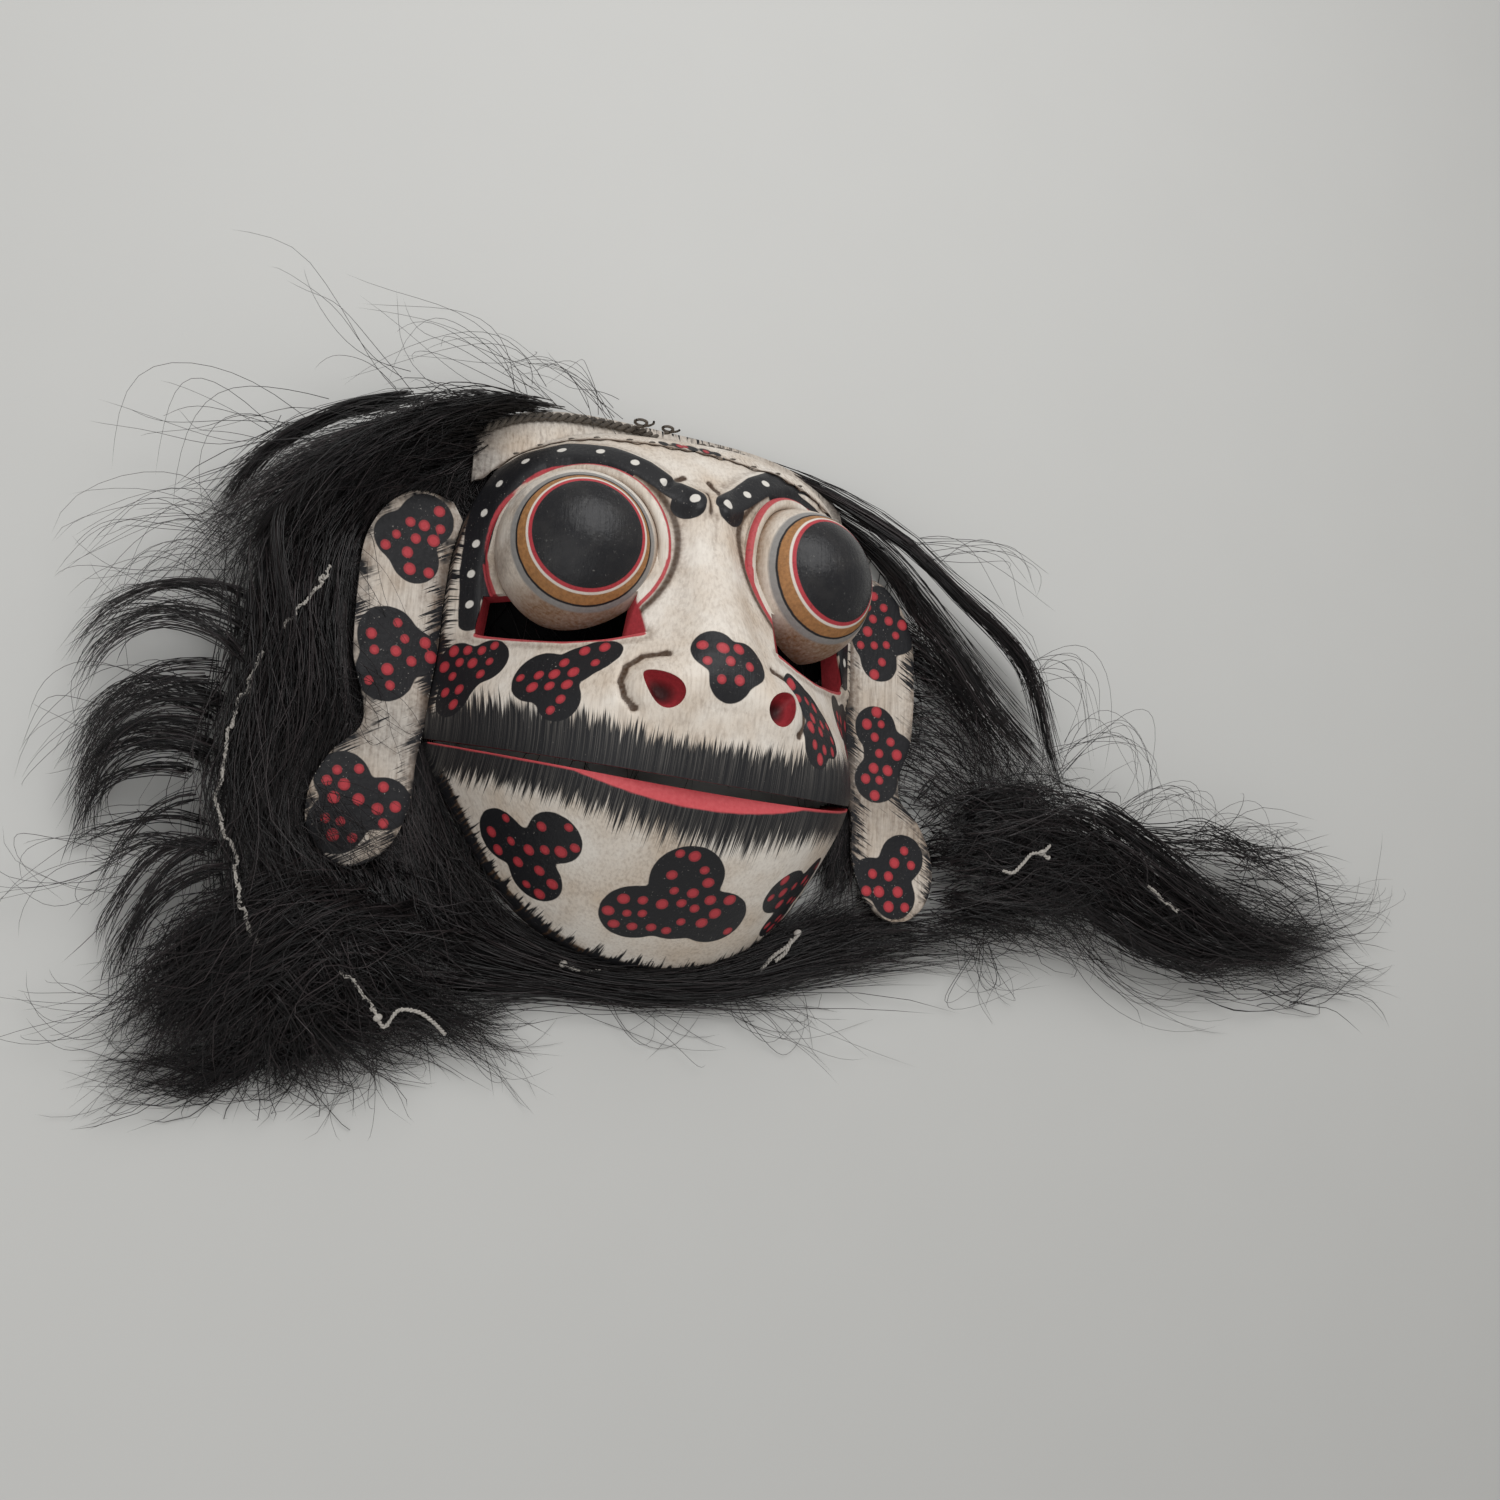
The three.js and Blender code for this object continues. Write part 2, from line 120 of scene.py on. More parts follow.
# Painted patches, as lobes (x, y, radius)
LOBE_BLEND = 1.3
FACE_PATCHES = [
    [(-74, 31, 9.5), (-83, 30, 10.5), (-84, 17, 9), (-80, 24, 7)],
    [(-60, 21, 11.5), (-49, 25, 8.8), (-43, 28.5, 7.4), (-38.5, 30.5, 5), (-55, 9.5, 8.4),
     (-56, 15, 8.4)],
    [(32.5, 27, 5.4), (37.5, 24, 7.6), (44.5, 19.5, 9.6), (51, 14, 10), (43, 6.5, 9), (46, 13, 8)],
    [(74, 31, 9), (83, 30, 10), (84, 17, 8.5)],
    [(-6, 31.5, 8.6), (6.5, 28, 8.8), (0, 20, 8)],
    [(-62.5, -37, 11.2), (-48, -38.5, 10.8), (-49, -51, 11.2), (-54, -43, 9.6)],
    [(1.5, -46.2, 14.4), (-12.5, -60.3, 13.6), (19, -57.5, 13.2), (3, -59, 12.5)],
    [(47, -43.5, 10.8), (61, -36, 11), (53, -51, 9.5), (56, -43, 9)],
]
LEFT_EAR_PATCHES = [
    [(-98, 90, 10.8), (-108, 81, 10), (-101, 72.5, 9.4), (-102, 82, 7)],
    [(-108.6, 40.5, 11.6), (-97.3, 35.6, 9), (-108.2, 26, 11.2), (-106, 34, 7)],
    [(-119.5, -16.6, 10.4), (-103, -24, 10), (-120, -34, 10.8), (-113, -26, 9)],
]
RIGHT_EAR_PATCHES = [
    [(104.3, 91, 9.6), (99, 74.6, 8.4), (113, 79, 8.8), (104, 65, 8.8), (105, 79, 9)],
    [(103, 35, 9.8), (113, 24.7, 9.4), (103.6, 11.8, 10), (106, 24, 8)],
    [(116.7, -20.7, 10), (102, -30.7, 8.6), (113.3, -37.5, 10), (110, -30, 8)],
]


def smooth(points, x):
    """Smooth curve through (x, y) points: cubic pieces whose slopes average the neighbouring chords."""
    xs, ys = np.array(points, float).T
    step = np.diff(xs)
    chord = np.diff(ys) / step
    inner = (chord[:-1] * step[1:] + chord[1:] * step[:-1]) / (step[:-1] + step[1:])
    slope = np.concatenate([chord[:1], inner, chord[-1:]])
    i = np.clip(np.searchsorted(xs, x) - 1, 0, len(step) - 1)
    t = np.clip((x - xs[i]) / step[i], 0, 1)
    return ((2 * t**3 - 3 * t**2 + 1) * ys[i] + (t**3 - 2 * t**2 + t) * step[i] * slope[i]
            + (3 * t**2 - 2 * t**3) * ys[i + 1] + (t**3 - t**2) * step[i] * slope[i + 1])


def distance_to_path(x, y, path):
    """Shortest distance from each point to a path of straight pieces."""
    nearest = np.full(np.shape(x), np.inf)
    for (x0, y0), (x1, y1) in zip(path[:-1], path[1:]):
        dx, dy = x1 - x0, y1 - y0
        t = np.clip(((x - x0) * dx + (y - y0) * dy) / max(dx * dx + dy * dy, 1e-9), 0, 1)
        nearest = np.minimum(nearest, np.hypot(x - x0 - t * dx, y - y0 - t * dy))
    return nearest


def bell(distance, reach):
    """Bell curve: one at the middle, and a third at the reach."""
    return np.exp(-((distance / reach) ** 2))


def ramp(value, start, end):
    """Straight rise from none at the start to one at the end, level outside them."""
    return np.clip((value - start) / (end - start), 0, 1)


def lean(x, y):
    """The right half of the carving is a little taller than the left."""
    return y + LEAN * x * (y - LEAN_Y)


def upright(x, y):
    """Place up the face before the lean."""
    return (y + LEAN * LEAN_Y * x) / (1 + LEAN * x)


def squareness(y):
    """Power of the squared oval, above and below its centre."""
    return np.where(y > OUTLINE_CENTRE_Y, CROWN_SQUARENESS, CHIN_SQUARENESS)


def reach(y):
    """Distance from the outline's centre up to the crown or down to the chin."""
    return np.where(y > OUTLINE_CENTRE_Y, CROWN_REACH, CHIN_REACH)


def flare(y):
    """The cheeks widen the outline by a bell curve about the mouth's corners."""
    return 1 + CHEEK_FLARE * bell(y, CHEEK_FLARE_REACH)


def half_width(y):
    """Half the width of the outline at a place up the face."""
    n = squareness(y)
    up = np.abs(y - OUTLINE_CENTRE_Y) / reach(y)
    return TEMPLE_HALF_WIDTH * np.maximum(1 - up**n, 0) ** (1 / n) * flare(y)


def on_outline(u, v):
    """A point of the square from -1 to 1, rounded to a disc and stretched to the squared oval."""
    dx, dy = u * np.sqrt(1 - v * v / 2), v * np.sqrt(1 - u * u / 2)
    n = squareness(OUTLINE_CENTRE_Y + dy)
    squared = (np.abs(dx) ** n + np.abs(dy) ** n) ** (1 / n)
    stretch = np.hypot(dx, dy) / np.maximum(squared, 1e-9)
    y = OUTLINE_CENTRE_Y + stretch * dy * reach(OUTLINE_CENTRE_Y + dy)
    return stretch * dx * TEMPLE_HALF_WIDTH * flare(y), y


def inset(x, y):
    """Distance in from the outline, taken along the line to its centre."""
    n = squareness(y)
    share = ((np.abs(x) / (TEMPLE_HALF_WIDTH * flare(y))) ** n
             + (np.abs(y - OUTLINE_CENTRE_Y) / reach(y)) ** n) ** (1 / n)
    return (1 - share) * np.hypot(x, y - OUTLINE_CENTRE_Y)


def dome_height(x, y):
    """Plain dome: the midline profile, falling to the rim edge at the outline."""
    across = np.clip(np.abs(x) / np.maximum(half_width(y), 1e-6), 0, 1)
    return RIM_EDGE + (smooth(PROFILE, y) - RIM_EDGE) * (1 - across ** smooth(FULLNESS, y))


def carved_height(x, y):
    """The dome with the nose ridge, nostril wings, brows, knife cuts and nose grooves. Ridge and brow
    are flat on top: one over one plus a high power of the distance."""
    side = np.abs(x)
    ridge = (ramp(y, *RIDGE_FOOT) * ramp(y, *RIDGE_TOP)
             / (1 + (side / smooth(RIDGE_HALF_WIDTH, y)) ** FLAT_TOP))
    wing = bell((side - WING[0]) / WING_REACH[0], 1) * bell((y - WING[1]) / WING_REACH[1], 1)
    brow = 1 / (1 + (distance_to_path(side, y, BROW) / BROW_HALF_WIDTH) ** FLAT_TOP)
    hood = bell(np.hypot(side - HOOD[0], y - HOOD[1]), HOOD_REACH)
    cuts = sum(bell(distance_to_path(x, y, cut), CUT_HALF_WIDTH) for cut in BROW_CUTS)
    cuts = cuts + BRIDGE_CUT_SHARE * bell(distance_to_path(x, y, BRIDGE_CUT), CUT_HALF_WIDTH)
    groove = bell(distance_to_path(side, y, NOSE_GROOVE), GROOVE_HALF_WIDTH)
    return (dome_height(x, y) + RIDGE_RISE * ridge + WING_RISE * wing + BROW_RISE * brow
            + HOOD_RISE * hood - CUT_DEPTH * cuts - GROOVE_DEPTH * groove)


def parting_y(z):
    """The lips part along a plane that drops towards the front."""
    return -MOUTH_DROP * (z - MOUTH_CORNER_Z)


def lip_y(x):
    """Place up the face where the skin meets the parting plane, found by repeated substitution."""
    y = np.zeros_like(x)
    for _ in range(12):
        y = parting_y(carved_height(x, y))
    return y


def lip_gap(x):
    """Gap between the lips: a parabola from the corners to the middle."""
    middle = np.maximum(0, 1 - (x / MOUTH_HALF_WIDTH) ** 2)
    return LIP_GAP_CORNER + (LIP_GAP_MIDDLE - LIP_GAP_CORNER) * middle


def lower_lip(x, y):
    """Share of the lower lip's bevel: one at the parting line, none below the lip's edge."""
    tall = LOWER_LIP_TALL * np.maximum(0, 1 - ((x - LOWER_LIP_MIDDLE) / LOWER_LIP_HALF_WIDTH) ** 2)
    return np.clip((y - lip_y(x) + tall) / np.maximum(tall, 1e-3), 0, 1) * tall / LOWER_LIP_TALL


def jaw_height(x, y):
    """The face's surface with the lower lip cut back under the parting line."""
    return carved_height(x, y) - LOWER_LIP_DEEP * lower_lip(x, y)


def hollow_height(x, y):
    """Top of the hollow at a place before the lean: the plain dome drawn in by the wall."""
    outer_y = OUTLINE_CENTRE_Y + (y - OUTLINE_CENTRE_Y) / HOLLOW_ALONG
    return HOLLOW_UP * dome_height(x / HOLLOW_ACROSS, outer_y) - HOLLOW_SINK


def height_at(height, x, y):
    """A height function at one place."""
    return float(height(np.array([float(x)]), np.array([float(y)]))[0])


def eye_centre(side):
    """Middle of an eyeball, with the lean."""
    return np.array((side * EYE[0], lean(side * EYE[0], EYE[1]), EYE[2]))


# Meshes from arrays of points and faces

def box_surface(divisions, move):
    """Closed surface of the box from -1 to 1, gridded on its six sides, with each point moved by a
    function of its three places."""
    size = np.array(divisions)
    corners = []
    for axis in range(3):
        a, b = (axis + 1) % 3, (axis + 2) % 3
        i, j = (g.ravel() for g in np.meshgrid(np.arange(size[a]), np.arange(size[b]), indexing="ij"))
        for end in (0, size[axis]):
            turn = ((0, 0), (1, 0), (1, 1), (0, 1)) if end else ((0, 0), (0, 1), (1, 1), (1, 0))
            quad = np.empty((len(i), 4, 3), int)
            quad[..., axis] = end
            for k, (di, dj) in enumerate(turn):
                quad[:, k, a], quad[:, k, b] = i + di, j + dj
            corners.append(quad)
    corners = np.concatenate(corners).reshape(-1, 3)
    key = (corners[:, 0] * (size[1] + 1) + corners[:, 1]) * (size[2] + 1) + corners[:, 2]
    _, first, index = np.unique(key, return_index=True, return_inverse=True)
    u, v, w = (2 * corners[first] / size - 1).T
    return np.stack(move(u, v, w), -1), index.reshape(-1, 4)


def ball_surface(centre, radii, divisions, turn=0.0):
    """Ellipsoid: a gridded box with each point drawn to length one, stretched and turned about z."""
    def move(u, v, w):
        u, v, w = np.tan(np.stack((u, v, w)) * math.pi / 4)
        length = np.sqrt(u * u + v * v + w * w)
        x, y, z = u / length * radii[0], v / length * radii[1], w / length * radii[2]
        c, s = math.cos(turn), math.sin(turn)
        return centre[0] + c * x - s * y, centre[1] + s * x + c * y, centre[2] + z
    return box_surface((divisions,) * 3, move)


def ring_faces(rows, columns, close_rows=False):
    """Quads of a grid of rows of points, each row closed on itself."""
    i = np.arange(rows if close_rows else rows - 1)[:, None]
    j = np.arange(columns)[None, :]
    after_i, after_j = (i + 1) % rows, (j + 1) % columns
    quads = [i * columns + j, i * columns + after_j, after_i * columns + after_j, after_i * columns + j]
    return np.stack(np.broadcast_arrays(*quads), -1).reshape(-1, 4)


def path_lengths(path):
    """Length of a path up to each of its points."""
    return np.concatenate([[0], np.cumsum(np.linalg.norm(np.diff(path, axis=0), axis=1))])


def along_path(points, count):
    """Even steps along a smooth path through the points."""
    points = np.array(points, float)
    knots = path_lengths(points)
    at = np.linspace(0, knots[-1], count)
    return np.stack([smooth(list(zip(knots, column)), at) for column in points.T], -1)


def sections(path):
    """Unit vectors along a path and two across it, for paths held as (..., steps, 3)."""
    ahead = np.gradient(path, axis=-2)
    ahead /= np.maximum(np.linalg.norm(ahead, axis=-1, keepdims=True), 1e-9)
    side = np.cross(ahead, np.where(np.abs(ahead[..., 2:]) > 0.9, (1.0, 0, 0), (0, 0, 1.0)))
    side /= np.maximum(np.linalg.norm(side, axis=-1, keepdims=True), 1e-9)
    return ahead, side, np.cross(side, ahead)


def tube_surface(path, radius, sides=8):
    """Closed tube: a circle of the given radius carried along the path, drawn to a point at each end."""
    path = np.asarray(path, float)
    _, side, up = sections(path)
    angle = np.linspace(0, 2 * math.pi, sides, endpoint=False)
    radius = np.broadcast_to(radius, len(path))
    ring = side[:, None] * np.cos(angle)[:, None] + up[:, None] * np.sin(angle)[:, None]
    points = (path[:, None] + radius[:, None, None] * ring).reshape(-1, 3)
    faces = ring_faces(len(path), sides)[:, ::-1]
    ends = np.stack([path[0], path[-1]])
    j = np.arange(sides)
    after = (j + 1) % sides
    last = (len(path) - 1) * sides
    start = np.stack([np.full(sides, len(points)), j, after, after], -1)
    finish = np.stack([np.full(sides, len(points) + 1), last + after, last + j, last + j], -1)
    return np.concatenate([points, ends]), np.concatenate([faces, start[:, ::-1], finish[:, ::-1]])


# Thickness of a strand before its tip, as a share of that at its root
STRAND_TAPER = 0.45


def strand_surface(paths, radius):
    """Many closed three-sided strands at once: each root is capped and each tip is a point."""
    count, steps, _ = paths.shape
    _, side, up = sections(paths)
    taper = np.linspace(1, STRAND_TAPER, steps - 1)
    angle = np.arange(3) * 2 * math.pi / 3
    ring = side[:, :-1, None] * np.cos(angle)[:, None] + up[:, :-1, None] * np.sin(angle)[:, None]
    rings = paths[:, :-1, None] + ring * (radius[:, None] * taper)[..., None, None]
    points = np.concatenate([rings.reshape(count, -1, 3), paths[:, -1:]], 1)
    per_strand = points.shape[1]
    quads = ring_faces(steps - 1, 3)
    tip = per_strand - 1
    last = (steps - 2) * 3
    one = np.concatenate([
        quads[:, [0, 2, 1]], quads[:, [0, 3, 2]], [[0, 1, 2]],
        [[last, tip, last + 1], [last + 1, tip, last + 2], [last + 2, tip, last]],
    ])
    faces = (np.arange(count) * per_strand)[:, None, None] + one
    return points.reshape(-1, 3), faces.reshape(-1, 3)


def joined(*parts):
    """Several surfaces as one, with the faces of the later ones renumbered; quads and triangles mix."""
    start, points, faces = 0, [], []
    for part_points, part_faces in parts:
        points.append(part_points)
        if part_faces.shape[1] == 3:
            part_faces = np.concatenate([part_faces, part_faces[:, 2:]], 1)
        faces.append(part_faces + start)
        start += len(part_points)
    return np.concatenate(points), np.concatenate(faces)


def new_object(name, surface):
    """A Blender object at the origin from mask millimetres; a quad that repeats its last corner is a
    triangle."""
    points, faces = surface
    mesh = bpy.data.meshes.new(name)
    places = (points + MASK_ORIGIN) * MM
    if faces.shape[1] == 4:
        triangle = faces[:, 2] == faces[:, 3]
        corner_count = np.where(triangle, 3, 4)
        keep = np.ones(faces.shape, bool)
        keep[triangle, 3] = False
        corners = faces[keep]
    else:
        corner_count = np.full(len(faces), 3)
        corners = faces.ravel()
    mesh.vertices.add(len(places))
    mesh.vertices.foreach_set("co", places.astype(np.float32).ravel())
    mesh.loops.add(len(corners))
    mesh.loops.foreach_set("vertex_index", corners.astype(np.int32))
    mesh.polygons.add(len(faces))
    starts = np.concatenate([[0], np.cumsum(corner_count)[:-1]])
    mesh.polygons.foreach_set("loop_start", starts.astype(np.int32))
    mesh.update(calc_edges=True)
    mesh.validate()
    made = bpy.data.objects.new(name, mesh)
    bpy.context.scene.collection.objects.link(made)
    return made


def carve(target, operation, surface):
    """Joins or cuts the target with a surface, and keeps the result as the target's own mesh."""
    tool = new_object("tool", surface)
    modifier = target.modifiers.new("carve", "BOOLEAN")
    modifier.operation, modifier.solver, modifier.object = operation, "MANIFOLD", tool
    bpy.context.view_layer.update()
    evaluated = target.evaluated_get(bpy.context.evaluated_depsgraph_get())
    result = bpy.data.meshes.new_from_object(evaluated)
    target.modifiers.clear()
    before, target.data = target.data, result
    spare = tool.data
    bpy.data.objects.remove(tool)
    bpy.data.meshes.remove(spare)
    bpy.data.meshes.remove(before)
    result.name = target.name


def mask_points(target):
    """The object's vertices in mask millimetres, as x, y before the lean, y and z."""
    places = np.empty(len(target.data.vertices) * 3, np.float32)
    target.data.vertices.foreach_get("co", places)
    x, y, z = (places.reshape(-1, 3).astype(float) / MM - MASK_ORIGIN).T
    return x, upright(x, y), y, z


def set_values(target, **values):
    """Stores one number for each vertex under each name."""
    for name, numbers in values.items():
        attribute = target.data.attributes.new(name, "FLOAT", "POINT")
        attribute.data.foreach_set("value", np.asarray(numbers, np.float32))


def shade(target, material, sharp_angle=40):
    """One material, smooth shading, and sharp edges past an angle in degrees."""
    target.data.materials.clear()
    target.data.materials.append(material)
    target.data.shade_smooth()
    target.data.set_sharp_from_angle(angle=math.radians(sharp_angle))


def place(target, body, slot, *nodes):
    """The piece rides on a body and stands for the CAD nodes named; the slot argument is not used."""
    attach(target, body)
    if nodes:
        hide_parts(*nodes)


# Shader expressions

# Third coordinate at which the noise of brush strokes is read
STROKE_SLICE = 3.7


class Value:
    """A node's output, with the operators that add Math nodes."""

    def __init__(self, tree, socket):
        self.tree, self.socket = tree, socket

    def math(self, operation, a, b=0.0, clamp=False):
        settings = {"operation": operation, "use_clamp": clamp}
        return self.tree.node("ShaderNodeMath", settings, {0: a, 1: b})

    def __add__(self, other):
        return self.math("ADD", self, other)

    def __sub__(self, other):
        return self.math("SUBTRACT", self, other)

    def __rsub__(self, other):
        return self.math("SUBTRACT", other, self)

    def __mul__(self, other):
        return self.math("MULTIPLY", self, other)

    def __truediv__(self, other):
        return self.math("DIVIDE", self, other)

    __radd__, __rmul__ = __add__, __mul__

    def clamped(self):
        return self.math("ADD", self, 0.0, True)

    def below(self, limit, soft):
        """One below the limit and none above it, over a soft edge."""
        return ((limit - self) / soft + 0.5).clamped()

    def above(self, limit, soft):
        """One above the limit and none below it, over a soft edge."""
        return ((self - limit) / soft + 0.5).clamped()


class Tree:
    """A material's nodes. One method adds any node."""

    def __init__(self, name):
        self.material = bpy.data.materials.new(name)
        self.material.use_nodes = True
        self.nodes, self.links = self.material.node_tree.nodes, self.material.node_tree.links
        self.shader = self.nodes["Principled BSDF"]

    def put(self, socket, value):
        """Links a value to a socket, or sets a number or colour on it."""
        if isinstance(value, Value):
            self.links.new(value.socket, socket)
        elif hasattr(value, "__len__") and len(value) == 3 and socket.type == "RGBA":
            socket.default_value = (*value, 1.0)
        else:
            socket.default_value = value

    def node(self, kind, settings=None, inputs=None, output=0):
        """A node with its settings, then the values or links of its sockets, as one of its outputs."""
        made = self.nodes.new(kind)
        for key, setting in (settings or {}).items():
            setattr(made, key, setting)
        for key, value in (inputs or {}).items():
            self.put(made.inputs[key], value)
        return Value(self, made.outputs[output])

    def attribute(self, name):
        return self.node("ShaderNodeAttribute", {"attribute_name": name}, output="Fac")

    def places(self, scale):
        """Object coordinates in millimetres times a scale for each axis."""
        metres = self.node("ShaderNodeTexCoord", output="Object")
        return self.node("ShaderNodeMapping", {}, {"Vector": metres, "Scale": [s / MM for s in scale]})

    def noise(self, vector, detail=3.0, roughness=0.55):
        inputs = {"Vector": vector, "Scale": 1.0, "Detail": detail, "Roughness": roughness}
        return self.node("ShaderNodeTexNoise", {}, inputs)

    def grain(self, size, detail=3.0):
        """Noise with features of the given size in millimetres."""
        return self.noise(self.places((1 / size,) * 3), detail)

    def strokes(self, along, across, width, length):
        """Noise drawn out into strokes: narrow along an edge, and long across it."""
        places = {0: along / width, 1: across / length, 2: STROKE_SLICE}
        vector = self.node("ShaderNodeCombineXYZ", {}, places)
        return self.noise(vector, 2.0, 0.6)

    def mix(self, factor, a, b):
        return self.node("ShaderNodeMix", {"data_type": "RGBA"}, {0: factor, 6: a, 7: b}, 2)

    def bump(self, height, depth):
        """Normal from a height between none and one, that deep in millimetres."""
        inputs = {"Height": height, "Distance": depth * MM, "Strength": 1.0}
        return self.node("ShaderNodeBump", {}, inputs)

    def finish(self, colour, roughness, normal=None, **constants):
        """The material, with what changes over the surface and what is the same all over it."""
        self.put(self.shader.inputs["Base Color"], colour)
        self.put(self.shader.inputs["Roughness"], roughness)
        if normal is not None:
            self.put(self.shader.inputs["Normal"], normal)
        for key, value in constants.items():
            self.put(self.shader.inputs[key.replace("_", " ")], value)
        return self.material


def scaled(colour, factor):
    """A darker or lighter colour."""
    return tuple(factor * c for c in colour)


# Scales of noise drawn out up the face, and depth of the paint's relief in millimetres
FINE_STREAKS, PAINT_RELIEF = (0.9, 0.05, 0.9), 0.35


def antique_ground(tree, paint, crease):
    """Cream paint with cloudy yellowing, fine vertical streaks, and brown dirt in the creases; on the ears
    this darkening is also painted shade beside the face.
    """
    cloud = tree.grain(24, 5)
    streak = tree.noise(tree.places(FINE_STREAKS), 5)
    fleck = tree.grain(1.6, 4)
    ground = tree.mix(cloud.above(0.54, 0.35), paint.cream, paint.aged_cream)
    ground = tree.mix(((streak - 0.44) * 2 * cloud).clamped(), ground, paint.patina)
    scratch = tree.noise(tree.places((2.6, 0.16, 2.6)), 2)
    ground = tree.mix(scratch.above(0.72, 0.08) * 0.35, ground, paint.patina)
    dirt = (crease * (0.7 + fleck * 0.5) + (fleck - 0.6) * 1.4 * cloud).clamped()
    ground = tree.mix(dirt, ground, paint.patina)
    return tree.mix(crease.above(0.66, 0.25) * 0.7, ground, scaled(paint.patina, 0.3)), fleck


def worn_black(tree, paint, limit, strength):
    """Black paint with cream where it is chipped, the noise that wears it, and the chips."""
    wear = tree.grain(0.9, 5)
    chip = wear.above(limit, 0.06) * tree.grain(9).above(0.5, 0.2)
    return tree.mix(chip * strength, paint.black, scaled(paint.cream, 0.6)), wear, chip


def edge_wobble(tree):
    """Slow noise in millimetres that makes a painted edge wander."""
    return (tree.grain(5) - 0.5) * 1.1


def dotted_patches(tree, paint, colour, black, wobble, wear):
    """Black patches with red dots over a colour, with the inked share and the distance to a dot."""
    inked = (tree.attribute("ink") + wobble * 0.5).below(0, 0.35)
    colour = tree.mix(inked, colour, black)
    dot = tree.attribute("red_dot") + wobble * 0.45
    dotted = tree.mix(dot.above(-0.75, 0.4) * 0.6, paint.red, scaled(paint.red, 0.5))
    return tree.mix(dot.below(0, 0.35) * wear.below(0.74, 0.1), colour, dotted), inked, dot


def brushed_lips(tree, paint, colour, chip):
    """Black lips over a colour, ragged at their outer edge and scraped along the brush marks."""
    along, lip = tree.attribute("lip_along"), tree.attribute("lip")
    ragged = tree.strokes(along, lip, 0.62, 1.6) * 0.6 + tree.strokes(along, lip, 0.27, 1.1) * 0.4
    brushed = tree.strokes(along, lip, 0.4, 2.4)
    scraped = ((brushed - 0.47) * 2.2).clamped() * (0.3 + lip * 0.7) + chip * 0.3
    lip_black = tree.mix(scraped.clamped(), paint.black, scaled(paint.cream, 0.33))
    covered = (lip - (ragged - 0.5) * 1.9).below(0.93, 0.2)
    return tree.mix(covered, colour, lip_black), brushed


# Angles in degrees from its axis at which each ring about a pupil ends, and how soft that edge is
GREY_RING, BLACK_RING, OCHRE_RING = (58.5, 2.0), (53.0, 0.7), (51.2, 0.7)
CREAM_RING, RED_RING, PUPIL_EDGE = (45.6, 0.7), (43.6, 0.7), (40.6, 0.6)


def ringed_eyes(tree, paint, ground, black, lined, wobble, fleck, wear):
    """Eyeballs darker towards the bottom and with painted shade at their border by the lid, rings laid over
    each other from the outside in, and scuffed black pupils.
    """
    ring, facing = tree.attribute("ring") + wobble * 1.2, tree.attribute("pupil") + wobble * 0.4
    # Darker ochre towards the bottom of the ball, and painted shade at its border by the lid
    stain = (tree.attribute("stain") * (0.4 + fleck * 0.8)).clamped()
    eye = tree.mix(stain, ground, scaled(paint.ochre, 0.5))
    grey = tree.mix(fleck, scaled(paint.grey, 0.8), scaled(paint.grey, 1.2))
    ochre = tree.mix(fleck.above(0.55, 0.4), paint.ochre, scaled(paint.ochre, 0.6))
    for edge, colour in ((GREY_RING, grey), (BLACK_RING, black), (OCHRE_RING, ochre)):
        eye = tree.mix(ring.below(*edge), eye, colour)
    for edge, colour in ((CREAM_RING, scaled(paint.cream, 0.9)), (RED_RING, lined)):
        eye = tree.mix(facing.below(*edge), eye, colour)
    pupil = facing.below(*PUPIL_EDGE)
    scuffed = tree.mix(tree.grain(9, 5).above(0.6, 0.3) * 0.1, paint.black, scaled(paint.cream, 0.2))
    line = tree.noise(tree.places((0.16, 0.09, 0.12)), 3) - 0.56
    line = line.math("ABSOLUTE", line).below(0.004, 0.004)
    scuffed = tree.mix(line * wear.above(0.6, 0.1) * 0.25, scuffed, paint.white)
    return tree.mix(pupil, eye, scuffed), pupil


